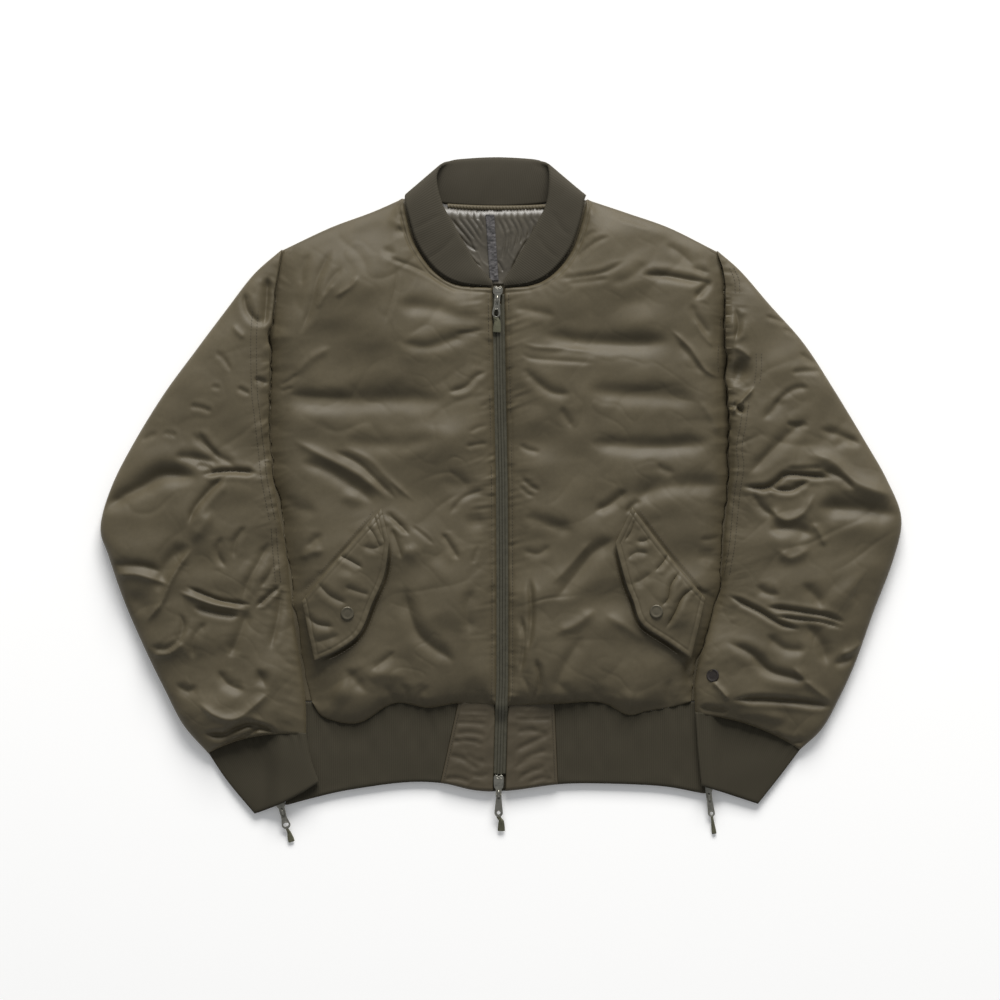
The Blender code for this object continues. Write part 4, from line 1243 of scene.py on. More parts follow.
SLEEVE_CREASES = {
    Side.RIGHT: creases(
        (4, 3.2, 0.4, 0.2, 1.3, -289, 235, -284, 212, -266, 195),
        (5, 5, 0.3, 0.3, 1.5, -262, 252, -263, 225, -266, 193),
        (3, 2.4, 0.5, 0, 1.2, -278, 137, -269, 134, -260, 131),
        (3, -1.8, 0, 0, 1.5, -302, 197, -295, 189, -286, 181),
        (3, 1.6, 0.5, 0.2, 1.3, -404, 66, -394, 72, -384, 75),
        (2.2, 1.2, 0.5, 0.2, 1.2, -380, 75, -372, 75, -362, 72),
        (2.6, 1.6, 0.5, 0.2, 1.2, -350, 106, -336, 104, -323, 99),
        (2.2, 1.1, 0.5, 0.2, 1.2, -326, 127, -320, 127, -313, 125),
        (2.6, 1.6, 0.5, 0.2, 1.2, -297, 127, -289, 123, -280, 119),
        (2.6, 1.2, 0.5, 0, 1.3, -322, 168, -310, 158, -302, 144),
        (4.2, 2, 0.4, 0.3, 1.4, -348, 76, -321, 53, -295, 37),
        (3.2, 1.6, 0.4, 0.3, 1.3, -340, 78, -328, 60, -312, 44),
        (5, 2.8, 0.35, 0.4, 1.5, -368, 50, -340, 47, -312, 41),
        (2.4, 2, 0.4, 0.3, 1.2, -342, 40, -332, 38, -322, 35),
        (3.2, 5, 0.45, -0.3, 1.1, -336, 29, -317, 32, -300, 33, -272, 31),
        (9, 5.6, 0.3, 0.5, 1.6, -449, -14, -425, 4, -400, 17, -376, 29, -338, 26),
        (4.2, 3.8, 0.45, 0.6, 1.3, -308, 29, -321, 17, -333, 4, -343, -9, -351, -28),
        (8, -2.8, 0, 0, 1.8, -322, -10, -334, -28, -347, -48),
        (3, -3.8, 0, 0, 1.3, -344, -52, -358, -70, -371, -92, -380, -114, -399, -138),
        (8, 3, 0.1, 0, 1.7, -350, -48, -374, -70, -386, -104),
        (4, -3.2, 0, 0, 1.5, -436, -84, -411, -83, -390, -88, -370, -95),
        (5, 3, 0.1, 0, 1.5, -438, -72, -404, -73, -380, -80),
        (12, 3, 0.1, 0, 1.9, -424, -103, -404, -116, -390, -128),
        (3.4, -3.4, 0, 0, 1.4, -362, -102, -341, -110, -320, -117, -286, -123),
        (2.4, 3, 0.2, 0, 1.1, -354, -96, -331, -106, -310, -113, -278, -117),
        (3.4, 3, 0.25, -0.2, 1.3, -346, -119, -318, -126, -292, -130),
        (2.6, 3.4, 0.5, 0.2, 1.1, -247, -95, -262, -108, -275, -120),
        (6, 3, 0.25, 0.2, 1.5, -283, -121, -289, -138, -294, -152, -305, -176),
        (4, 2.4, 0.45, 0.2, 1.4, -260, -46, -272, -70, -284, -92, -289, -112),
        (3, 2, 0.45, 0.2, 1.3, -253, -70, -260, -84, -270, -98),
        (4.2, 2.8, 0.4, 0.2, 1.4, -246, -98, -250, -130, -259, -168),
        (3.2, 1.8, 0.4, 0, 1.4, -285, -28, -297, -44, -300, -66),
        (3.6, 1.8, 0.4, 0, 1.4, -312, -40, -318, -58, -308, -76),
        (3.6, 2.4, 0.4, 0, 1.3, -396, -164, -376, -166, -361, -155, -356, -138, -361, -126),
        (3, -2.2, 0, 0, 1.5, -392, -173, -371, -171, -354, -158),
        (4, 2.2, 0.35, 0, 1.4, -346, -178, -343, -152, -329, -136),
        (7, 3, 0.25, 0, 1.6, -275, -188, -268, -200, -262, -212),
        (5, 2.2, 0.35, 0, 1.5, -318, -190, -306, -206, -286, -214),
        (5, 2.2, 0.35, 0, 1.5, -366, -206, -350, -214, -340, -206),
        (5, -3.2, 0, 0, 1.5, -340, -226, -322, -240, -306, -245, -289, -240, -258, -214),
        (4, 5.6, 0.4, 0.3, 1.2, -334, -262, -311, -263, -299, -257, -284, -252, -266, -252),
        (3.6, 4.8, 0.4, 0, 1.2, -314, -272, -295, -268, -280, -261, -271, -255, -248, -262),
    ),
    Side.LEFT: creases(
        (2.6, 1.8, 0.5, 0.2, 1.2, 296, 207, 309, 203, 324, 199),
        (2.4, 1.4, 0.5, 0.2, 1.2, 316, 193, 326, 189, 334, 184),
        (3, 1.8, 0.5, 0.2, 1.3, 334, 166, 344, 159, 356, 152),
        (2.6, 1.8, 0.5, 0.2, 1.2, 324, 143, 340, 145, 360, 145),
        (3, 2, 0.45, 0.3, 1.3, 303, 103, 318, 118, 332, 126, 348, 126),
        (2.6, 1.4, 0.5, 0.2, 1.3, 318, 86, 331, 84, 346, 85),
        (4, 2.2, 0.45, 0.3, 1.4, 356, 80, 378, 74, 404, 64),
        (5, 1.6, 0.4, 0.2, 1.6, 372, 60, 388, 66, 406, 62),
        (6, 2.4, 0.4, 0.2, 1.6, 276, 28, 300, 52, 322, 74, 348, 94),
        (5, 1.8, 0.4, 0.2, 1.6, 292, 90, 308, 104, 322, 112),
        (3.2, 2.4, 0.45, 0.2, 1.3, 263, 216, 266, 196, 262, 178),
        (5, 1.6, 0.3, 0, 1.6, 274, 212, 268, 196, 262, 182),
        (9, 4.6, 0.2, 0, 2, 270, 162, 268, 146, 262, 128),
        (3.6, -2, 0, 0, 1.5, 258, 172, 270, 168, 282, 158),
        (2.6, -3.2, 0, 0, 1.4, 256, 96, 263, 104, 271, 113, 285, 128),
        (3, 4, 0.3, 0, 1.3, 257, 110, 266, 104, 272, 96),
        (3.2, 5, 0.35, -0.2, 1.1, 268, 16, 293, 14, 306, 19, 320, 29, 346, 28, 374, 25),
        (3, 4.2, 0.35, -0.3, 1.1, 298, 15, 312, 12, 326, 12, 336, 18, 348, 22),
        (2.2, 1.8, 0.4, 0.2, 1.2, 318, 36, 340, 36, 362, 37),
        (8, -3.8, 0, 0, 1.6, 342, 53, 374, 42, 398, 20, 442, 4),
        (3.6, 2.6, 0.3, -0.4, 1.3, 360, 34, 380, 27, 397, 12),
        (11, 5.2, 0.15, 0.4, 1.8, 352, -8, 396, -9, 447, -16),
        (4.4, 2.4, 0.3, 0, 1.5, 282, 9, 292, -8, 308, -18),
        (4.4, -2.6, 0, 0, 1.6, 298, -6, 318, -22, 338, -14, 352, 8),
        (7.5, 3, 0.25, 0.2, 1.7, 298, -33, 325, -31, 352, -39),
        (6, -2.4, 0, 0, 1.7, 308, -54, 325, -64, 348, -53),
        (4, -2, 0, 0, 1.5, 348, -24, 357, -36, 364, -52),
        (22, -3, 0, 0, 2, 372, -94, 386, -108, 398, -116),
        (7, 2.4, 0.2, 0, 1.7, 336, -92, 354, -110, 360, -124),
        (2.8, 4, 0.4, 0.3, 1.1, 254, -106, 275, -117, 291, -125, 311, -137, 336, -145),
        (2.8, 3.8, 0.4, 0.3, 1.1, 296, -119, 320, -122, 346, -126, 367, -130, 388, -138),
        (2.4, 3, 0.4, 0, 1.1, 304, -129, 334, -133, 360, -136, 386, -144),
        (5, 2.2, 0.4, 0.2, 1.5, 284, -94, 298, -104, 314, -106),
        (7, 2.8, 0.25, 0.2, 1.7, 340, -136, 357, -158, 367, -186),
        (4, -2.8, 0, 0, 1.4, 380, -174, 394, -168, 408, -159),
        (4, 2.4, 0.35, 0.2, 1.4, 372, -184, 384, -181, 398, -176),
        (5, 3.2, 0.35, 0.3, 1.5, 252, -158, 281, -172, 303, -192, 350, -203),
        (4.2, -2.4, 0, 0, 1.5, 326, -186, 348, -208, 372, -226),
        (6, 2.4, 0.3, 0, 1.6, 296, -150, 318, -166, 344, -168),
        (3.4, 4.4, 0.4, -0.2, 1.1, 258, -224, 290, -223, 332, -226, 374, -232),
        (9, -2.6, 0, 0, 1.8, 262, -240, 290, -240, 322, -246),
        (3.2, -2.8, 0, 0, 1.5, 236, -202, 246, -212, 256, -224),
        (3.2, 2.8, 0.4, 0, 1.3, 222, -232, 238, -235, 256, -236),
        (4, 3, 0.4, 0, 1.3, 300, -262, 322, -272, 344, -270),
    ),
}
FLAP_CREASES = {
    Side.RIGHT: creases(
        (2.8, 2.6, 0.5, -0.3, 1.2, -184, -60, -168, -68, -154, -76),
        (3.6, 2.6, 0.45, -0.2, 1.4, -205, -92, -192, -106, -172, -116),
        (3.6, 2.8, 0.45, -0.2, 1.3, -222, -126, -207, -138, -186, -142),
        (3, 1.8, 0.45, 0, 1.4, -176, -96, -160, -102, -146, -106),
        (3.4, 1.8, 0.45, 0, 1.4, -156, -50, -142, -54, -130, -48),
        (2.2, 1.8, 0.5, 0, 1.2, -142, -16, -137, -32, -130, -48),
        (2.4, 1.6, 0.5, 0, 1.2, -150, -28, -142, -38, -136, -52),
        (4, 1.8, 0.4, 0, 1.5, -214, -160, -196, -156, -180, -150),
        (8, -1.6, 0, 0, 1.8, -186, -84, -168, -88, -152, -94),
    ),
    Side.LEFT: creases(
        (2.8, 4.2, 0.5, 0.3, 1.2, 217, -97, 203, -108, 195, -125, 184, -144),
        (2.8, 3.4, 0.5, 0.3, 1.2, 200, -80, 190, -95, 187, -110, 179, -119),
        (2.8, 2.8, 0.5, 0.3, 1.2, 187, -60, 181, -70, 172, -80),
        (3.4, 2.4, 0.5, 0.3, 1.3, 168, -41, 160, -46, 150, -45),
        (2.8, 3, 0.5, 0.3, 1.2, 233, -121, 226, -132, 219, -144),
        (4, 2, 0.45, 0.3, 1.5, 170, -80, 156, -90, 146, -92),
        (3.4, 2, 0.45, 0.3, 1.4, 166, -60, 152, -58, 140, -66),
        (2.6, 2, 0.45, 0, 1.3, 150, -20, 146, -34, 138, -46),
        (9, -2.2, 0, 0, 1.8, 212, -108, 206, -126, 196, -146),
    ),
}
FACING_CREASES = {
    Side.RIGHT: creases(
        (1.8, 0.9, 0.5, 0, 1.2, -50, -238, -30, -237, -10, -238),
        (1.8, 1, 0.5, 0, 1.2, -58, -244, -36, -244, -12, -243),
        (2.4, 1.2, 0.5, 0, 1.3, -60, -251, -40, -249, -14, -251),
        (2.6, 1, 0.5, 0.2, 1.4, -52, -263, -34, -261, -16, -264),
        (2.4, 1.2, 0.5, 0.2, 1.3, -60, -272, -40, -270, -18, -274),
        (3, 1.2, 0.5, 0.2, 1.4, -62, -286, -44, -290, -24, -303),
        (2.6, 1, 0.5, 0, 1.4, -40, -284, -28, -292, -16, -294),
        (2.2, 1.2, 0.5, 0, 1.2, -66, -313, -50, -312, -34, -316),
        (2.2, 0.9, 0.5, 0, 1.3, -34, -308, -22, -310, -12, -306),
    ),
    Side.LEFT: creases(
        (1.8, 1, 0.5, 0, 1.2, 14, -238, 34, -240, 56, -239),
        (2.2, 1.2, 0.5, 0.2, 1.2, 12, -246, 34, -245, 60, -246),
        (2.8, 1.2, 0.5, 0.2, 1.4, 16, -262, 32, -258, 54, -262),
        (3, 1.4, 0.5, 0.3, 1.4, 14, -282, 34, -272, 56, -262),
        (3.2, 1.2, 0.5, 0.3, 1.4, 16, -300, 32, -288, 54, -280),
        (3, 1.3, 0.5, 0.3, 1.4, 18, -316, 30, -306, 52, -298),
        (2.2, 0.9, 0.5, 0, 1.3, 30, -318, 44, -312, 60, -314),
    ),
}
BACK_CREASES = creases(
    (7, -1.6, 0, 0, 1.8, -200, 190, -60, 205, 90, 200, 205, 186),
    (6, -1.4, 0, 0, 1.8, -215, 96, -90, 84, 40, 92),
    (6, -1.5, 0, 0, 1.8, 10, 20, 120, 30, 226, 14),
    (5, -1.4, 0, 0, 1.6, -190, -40, -110, -66, -20, -60),
    (6, -1.6, 0, 0, 1.7, -30, -140, 90, -128, 196, -146),
    (4, -1.2, 0, 0, 1.5, -160, -190, -120, -150, -104, -100),
    (4, -1.2, 0, 0, 1.5, 140, -196, 126, -160, 132, -110),
)


# ---------------------------------------------------------------- padded satin panels


class Edge(NamedTuple):
    """How a front's border meets its neighbour: the line, its height and how wide it rolls down."""

    line: Array
    base: float
    radius: float


@dataclass
class Front:
    """One front: a padded panel from the side and armhole seam to the zip."""

    side: Side
    rows: int = 340
    half: int = 74
    pucker_zip: float = 2.0
    pucker_seam: float = 1.2
    ground: Ground = field(init=False)
    borders: tuple[Edge, ...] = field(init=False)

    def plan(self) -> Array:
        """Grid of plan points between the seam, the shoulder and neck, the zip and the lower edge.

        Returns:
            Grid of plan points, columns from the seam to the zip.
        """
        seam = seam_line(self.side, even(self.rows)) - (0.3 * self.side.sign, 0)
        bottom = smooth(BLOUSE[self.side], even(2 * self.half))
        shoulder = smooth(SHOULDER[self.side], even(self.half))
        top = np.vstack((shoulder, smooth(NECK[self.side], even(self.half))[1:]))
        zip_y = bottom[-1, 1] + even(self.rows) * (top[-1, 1] - bottom[-1, 1])
        inner = np.column_stack((zip_x(zip_y) + self.side.sign * (ZIP_HALF - 0.4), zip_y))
        top[0], bottom[0], top[-1], bottom[-1] = seam[-1], seam[0], inner[-1], inner[0]
        self.borders = (
            Edge(seam[::4], 7.5, 27.0 if self.side is Side.RIGHT else 21.0),
            Edge(smooth(SHOULDER[self.side], even(24)), 6.0, 13.0),
            Edge(smooth(NECK[self.side], even(48)), 14.0, 4.5),
            Edge(inner[::20], 13.8, 4.0),
            Edge(smooth(BLOUSE[self.side], even(60)), 9.0, 13.0),
        )
        return coons(bottom, top, seam, inner)

    def heights(self, points: Array) -> Array:
        """Height of the front at plan points.

        Each border has a base height and a quarter-circle roll. Between them the padding swells by
        1 - exp(-distance / reach) for every border, all multiplied. Folds and puckers are added
        where the padding is full.

        Args:
            points: (n, 2) plan points.

        Returns:
            Height at each point.
        """
        found = [nearest_on(edge.line, points) for edge in self.borders]
        weights = np.array([1 / (f.distance + 1.0) ** 3 for f in found])
        weights /= weights.sum(0)
        base = (weights * np.array([[edge.base] for edge in self.borders])).sum(0)
        lift, swell = np.ones(len(points)), np.ones(len(points))
        for edge, f in zip(self.borders, found):
            lift *= roll(f.distance, edge.radius)
            swell *= 1 - np.exp(-f.distance / CROWN_REACH)
        over_hem = np.exp(-(((points[:, 1] + 205) / 45) ** 2))
        crown = FRONT_EDGE + (FRONT_CROWN + 3.0 * over_hem) * swell
        give = 0.25 + 0.75 * np.sqrt(swell)
        folds = crease_height(points, FRONT_CREASES[self.side] + self.pocket_creases())
        ripples = self.pucker_zip * puckers(found[3], 9.5, 13.0, 31 + self.side.sign, 0.75)
        ripples -= 1.3 * np.exp(-(((found[2].distance - 5.6) / 1.3) ** 2))
        ripples -= 1.0 * np.exp(-(((found[3].distance - 5.0) / 1.2) ** 2))
        ripples += self.pucker_seam * puckers(found[0], 8.0, 7.0, 41 + self.side.sign)
        ripples += self.pucker_seam * puckers(found[2], 8.5, 8.0, 51 + self.side.sign)
        ripples += 1.2 * puckers(found[4], 15.0, 12.0, 61 + self.side.sign)
        lie = give * cloth_noise(points, 70 + self.side.sign)
        return base + lift * (crown + give * folds + ripples + lie)

    def smooth_height(self, points: Array) -> Array:
        """Height without small folds, for what lies on the front."""
        found = nearest_on(self.borders[0].line, points)
        return FRONT_LOW + FRONT_EDGE + FRONT_CROWN * (1 - np.exp(-found.distance / CROWN_REACH)) + 0.4

    def pocket_creases(self) -> tuple[Crease, ...]:
        """Dips under the flap: a groove at its sewn edge and the pocket's mouth under its free edge.

        Returns:
            The two creases.
        """
        sewn, free = FLAP[self.side]
        out = self.side.sign
        groove = tuple((x + 1.0 * out, y + 1.0) for x, y in sewn)
        mouth = tuple((x - 1.0 * out, y - 1.0) for x, y in free)
        return Crease(1.8, 1.4, 0.3, 0.0, 1.2, groove), Crease(2.8, 4.6, 0.1, 0.0, 1.6, mouth)

    def build(self, stitching: Stitching) -> bpy.types.Object:
        """Makes the panel and its edge stitching.

        Args:
            stitching: where its rows of stitches go.

        Returns:
            The panel.
        """
        plan = self.plan()
        top = np.dstack((plan, self.heights(plan.reshape(-1, 2)).reshape(plan.shape[:2])))
        if self.side is Side.LEFT:
            top = top[:, ::-1]
        made = panel("front_padded_" + self.side.value, top, 8.2, SATIN)
        self.ground = Ground(top.reshape(-1, 3))
        neck = smooth(NECK[self.side], even(60))
        for inward in (2.6, 7.0):
            stitching.row(offset_line(neck, -inward * self.side.sign), self.ground)
        y = np.linspace(-224, 232, 60)
        stitching.row(np.column_stack((zip_x(y) + self.side.sign * 11.5, y)), self.ground, 3.6)
        if self.side is Side.LEFT:
            stitching.row(np.array(((247.5, 223), (246, 190), (243.5, 160), (245, 137))), self.ground)
        return settle(made, ["front_" + self.side.value])


def cloth_noise(points: Array, seed: int) -> Array:
    """Uneven lie of padded cloth: slow swells, and faint crumples longer than they are wide.

    Args:
        points: (n, 2) plan points.
        seed: fixes the random numbers.

    Returns:
        Height to add at each point.
    """
    slow = 4.8 * noise(points, 62, seed) + 2.7 * noise(points, 27, seed + 1, (1.8, 12))
    small = 0.22 * noise(points, 9, seed + 2, (1.6, 35))
    folds = 1.2 * crumple(points, 34, seed + 3, (2.0, 25)) + 0.5 * crumple(points, 17, seed + 6, (1.7, -35))
    return slow + small - folds * (0.55 + 0.45 * noise(points, 50, seed + 9))


def offset_line(line: Array, by: float) -> Array:
    """A plan line moved to its left by a distance.

    Args:
        line: (n, 2) plan points.
        by: how far, below 0 to its right.

    Returns:
        The moved line.
    """
    run = np.gradient(line, axis=0)
    left = np.column_stack((-run[:, 1], run[:, 0]))
    return line + by * left / np.linalg.norm(left, axis=1, keepdims=True)


@dataclass
class Back:
    """Back panel: it lies on the surface with shallow dents, thins at its edges, and bears the fronts."""

    rows: int = 120
    cols: int = 110
    edge_rise: float = 3.6
    edge_run: float = 10.0
    edge_drop: float = 5.6
    drop_run: float = 24.0

    def build(self) -> bpy.types.Object:
        """Makes the panel from its middle surface and its thickness.

        Returns:
            The panel.
        """
        right = smooth([(x + 0.3, y) for x, y in SEAM[Side.RIGHT]], even(self.rows))
        left = smooth([(x - 0.3, y) for x, y in SEAM[Side.LEFT]], even(self.rows))
        quarter = self.cols // 4
        middle = self.cols - 2 * quarter
        top = np.vstack((
            smooth(SHOULDER[Side.RIGHT], even(quarter)),
            smooth(BACK_NECK, even(middle))[1:],
            smooth(SHOULDER[Side.LEFT], even(quarter))[::-1][1:],
        ))
        top[0], top[-1] = right[-1], left[-1]
        bottom = right[0] + even(self.cols)[:, None] * (left[0] - right[0])
        plan = coons(bottom, top, right, left)
        flat = plan.reshape(-1, 2)
        border = flat[rim_of(*plan.shape[:2])]
        gap = nearest_on(np.vstack((border, border[:1]))[::2], flat).distance
        dents = np.maximum(-crease_height(flat, BACK_CREASES), 0) + 0.25 * np.maximum(noise(flat, 40, 5), 0)
        low = self.edge_rise * (1 - roll(gap, self.edge_run)) + dents * ease(gap / 20)
        sides = [
            np.vstack((seam, smooth(SHOULDER[side], even(24))))
            for seam, side in ((right, Side.RIGHT), (left, Side.LEFT))
        ]
        from_side = np.min([nearest_on(line, flat).distance for line in sides], axis=0)
        high = BACK_TOP - self.edge_drop * (1 - roll(from_side, self.drop_run))
        grid = np.dstack((plan, ((low + high) / 2).reshape(plan.shape[:2])))
        made = wall("back_padded", grid, (high - low).reshape(plan.shape[:2]), SATIN, flat * MM)
        return settle(made, ["back_body"])


def armhole_seam(side: Side) -> None:
    """The sewn edges of the armhole and the side seam: a narrow strip low between body and sleeve.

    Args:
        side: which armhole.
    """
    line = seam_line(side, even(200))
    across = np.array((-9, -4.5, 0, 4.5, 9)) * (1 - 0.84 * ease((even(200)[:, None] - 0.93) / 0.05))
    grid = np.dstack((
        line[:, :1] + across, np.broadcast_to(line[:, 1:], (len(line), 5)),
        np.broadcast_to((6.0, 6.8, 6.4, 6.8, 6.0), (len(line), 5)),
    ))
    made = wall("armhole_seam_" + side.value, grid, 1.2, SATIN, grid[..., :2].reshape(-1, 2) * MM)
    settle(made)


def ring_plan(rows: Array, share: Array) -> Array:
    """Plan points of every ring: a line from its outer to its inner point, bowed in the middle.

    Args:
        rows: outer and inner point and bow of each ring.
        share: places across each ring, from 0 to 1.

    Returns:
        (rings, places, 2) plan points.
    """
    outer, inner = rows[:, None, 0:2], rows[:, None, 2:4]
    run = inner - outer
    up = np.concatenate((-run[..., 1:2], run[..., 0:1]), -1) / np.linalg.norm(run, axis=-1, keepdims=True)
    keep = (up[..., 1:2] > 0) | ((np.abs(up[..., 1:2]) < 0.3) & (up[..., 0:1] * outer[..., 0:1] < 0))
    share = np.broadcast_to(share, (len(rows), share.shape[-1]))[..., None]
    return outer + share * run + 4 * share * (1 - share) * rows[:, 4][:, None, None] * np.where(keep, up, -up)


def cuff_lift(x: Array, side: Side) -> Array:
    """Height of a cuff's underside: it rests on the surface and climbs on to the hem band."""
    outside = np.abs(x) - (240 if side is Side.RIGHT else 226)
    return 0.3 + (CUFF_OVER_HEM - 0.3) * ease((CUFF_RISE[0] - outside) / (CUFF_RISE[0] - CUFF_RISE[1]))


def round_shares(over: int, under: int) -> tuple[Array, Array]:
    """Share across a flattened tube of each point round it, and 1 over its top or -1 under it.

    Args:
        over: steps over the top.
        under: steps under it.

    Returns:
        Shares and faces, once round the tube.
    """
    top, low = even(over), (1 - np.cos(np.pi * even(under))) / 2
    top = 0.7 * top + 0.3 * (1 - np.cos(np.pi * top)) / 2
    return np.concatenate((top, low[::-1][1:-1])), np.concatenate((np.ones(over + 1), -np.ones(under - 1)))


@dataclass
class Sleeve:
    """Sleeve: a flattened padded tube, its rings fanned round the elbow, hollow inside."""

    side: Side
    rings: int = 300
    over: int = 156
    under: int = 26
    inner_rings: int = 20
    end_roll: float = 6.0
    ground: Ground = field(init=False)

    def clear_plan(self, rows: Array, share: Array) -> Array:
        """The rings' plan, kept clear of the body's seam.

        Args:
            rows: rows of the ring table.
            share: places across each ring.

        Returns:
            (rings, places, 2) plan points.
        """
        plan = ring_plan(rows, share)
        sign = self.side.sign
        plan[..., 0] = sign * np.maximum(sign * plan[..., 0], sign * seam_x(self.side, plan[..., 1]) + 0.7)
        return plan

    def heights(self, plan: Array, rows: Array, share: Array, along: Array) -> Array:
        """Height of the upper half: a flattened arch, rolled down at the armhole and at the cuff.

        Args:
            plan: (rings, places, 2) plan points.
            rows: rows of the ring table.
            share: places across each ring.
            along: place of each ring, from 0 at the shoulder to 1 at the cuff.

        Returns:
            (rings, places) heights.
        """
        lift = 2 * np.sqrt(np.maximum(share * (1 - share), 0))
        swell = np.broadcast_to(lift**0.62, plan.shape[:2]).ravel()
        flat = plan.reshape(-1, 2)
        found = nearest_on(seam_line(self.side, 0.2 + 0.8 * even(110)), flat)
        inner = np.broadcast_to(1 - share, plan.shape[:2]).ravel()
        head = roll(found.distance + 0.6, 12.0 if self.side is Side.RIGHT else 9.0)
        end = roll((1 - np.repeat(along, len(share))) * 520 + 0.4, self.end_roll)
        folds = 1.25 * crease_height(flat, SLEEVE_CREASES[self.side]) + cloth_noise(flat, 90 + self.side.sign)
        ripples = 2.0 * puckers(found, 9.0, 12.0, 81 + self.side.sign, 0.4)
        ripples += 1.3 * noise(flat, 5.5, 97, (2.6, 20 * self.side.sign)) * np.exp(-inner * 9)
        full = np.repeat(rows[:, 5] - SLEEVE_EDGE, len(share)) * swell
        arch = full + np.sqrt(swell) * folds + swell * ripples
        z = SLEEVE_EDGE + arch * head + 10.0 * (1 - head) * swell
        at_cuff = np.maximum(cuff_lift(flat[:, 0], self.side) + CUFF_THICK - 1.5, SLEEVE_EDGE) * swell
        at_cuff += SLEEVE_EDGE * (1 - swell)
        return (at_cuff + (z - at_cuff) * end).reshape(plan.shape[:2])

    def build(self, stitching: Stitching) -> bpy.types.Object:
        """Makes the tube, its hollow and the armhole stitching.

        Args:
            stitching: where its rows of stitches go.

        Returns:
            The sleeve.
        """
        share, face = round_shares(self.over, self.under)
        along = even(self.rings)
        rows = rows_between(SLEEVE_RINGS[self.side], along)
        plan = self.clear_plan(rows, share)
        swell = (2 * np.sqrt(share * (1 - share))) ** 0.62
        under = np.broadcast_to(SLEEVE_EDGE * np.clip(1 - 1.6 * swell, 0, 1), plan.shape[:2])
        z = np.where(face > 0, self.heights(plan, rows, share, along), under)
        outside = np.dstack((plan, z))
        inner_along = even(self.inner_rings)
        inner_rows = rows_between(SLEEVE_RINGS[self.side], inner_along)
        width = np.linalg.norm(inner_rows[:, 2:4] - inner_rows[:, 0:2], axis=1)
        inset = SLEEVE_WALL / width[:, None]
        plan = self.clear_plan(inner_rows, inset + (1 - 2 * inset) * share)
        middle = SLEEVE_EDGE + (0.40 * inner_rows[:, 5:6] - SLEEVE_EDGE) * swell
        lift = 2 * np.sqrt(share * (1 - share)) * face
        inside = np.dstack((plan, middle + SLIT / 2 * lift))
        made = hollow_tube("sleeve_padded_" + self.side.value, outside, inside, SATIN, self.side is Side.LEFT)
        self.ground = Ground(outside[:, face > 0].reshape(-1, 3))
        self.stitch(stitching)
        return settle(made, ["sleeve_" + self.side.value])

    def stitch(self, stitching: Stitching) -> None:
        """Twin rows round the armhole.

        Args:
            stitching: where the rows go.
        """
        if self.side is Side.RIGHT:
            row = ((-272, 214), (-274, 180), (-273, 125), (-270, 96), (-266, 60), (-262, 25), (-253, -22))
            for shift in (0.0, -6.4):
                stitching.row(np.array(row, float) + (shift, 0), self.ground)
            lower = ((-252, -30), (-250, -60), (-247, -92))
            for shift in (0.0, -5.6):
                stitching.row(np.array(lower, float) + (shift, 0), self.ground)
            return
        head = ((256, 262), (262, 248), (263, 232))
        middle = ((286, 166), (286, 148), (284, 131))
        lower = ((272, 112), (268, 84), (264, 60), (266, 38), (262, 10), (259, -20), (256, -50), (250, -84))
        for row, shift in ((head, 5.0), (middle, 6.0), (lower, 6.0)):
            stitching.row(np.array(row, float), self.ground)
            stitching.row(np.array(row, float) + (shift, 0), self.ground)


def hollow_tube(
    name: str, outside: Array, inside: Array, finish: Finish, turned: bool, uv: Array | None = None
) -> bpy.types.Object:
    """Closed mesh of a tube from its outer rings and its (fewer) inner ones, joined at both ends.

    Args:
        name: the piece's name.
        outside: (rings, around, 3) outer surface.
        inside: (rings, around, 3) inner surface.
        finish: what the piece is made of.
        turned: turns all faces over.
        uv: (n, 2) pattern coordinates in metres, or none to use the plan.

    Returns:
        The closed piece.
    """
    rings, around = outside.shape[:2]
    count, inner_rings = rings * around, inside.shape[0]
    faces = [quads(rings, around, 0, True), quads(inner_rings, around, count, True)[:, ::-1]]
    step = np.arange(around)
    after = (step + 1) % around
    last, inner_last = count - around, count + (inner_rings - 1) * around
    faces.append(np.column_stack((step, step + count, after + count, after)))
    faces.append(np.column_stack((after + last, after + inner_last, step + inner_last, step + last)))
    points = np.vstack((outside.reshape(-1, 3), inside.reshape(-1, 3)))
    if turned:
        faces = [f[:, ::-1] for f in faces]
    return write_mesh(name, points, faces, finish, points[:, :2] * MM if uv is None else uv)


# ---------------------------------------------------------------- knitted pieces


def ribs(across: Array) -> Array:
    """Relief of the knitted ribs, in step with the painted shade in the knit's grooves."""
    return -0.11 * np.cos(2.6 * across)


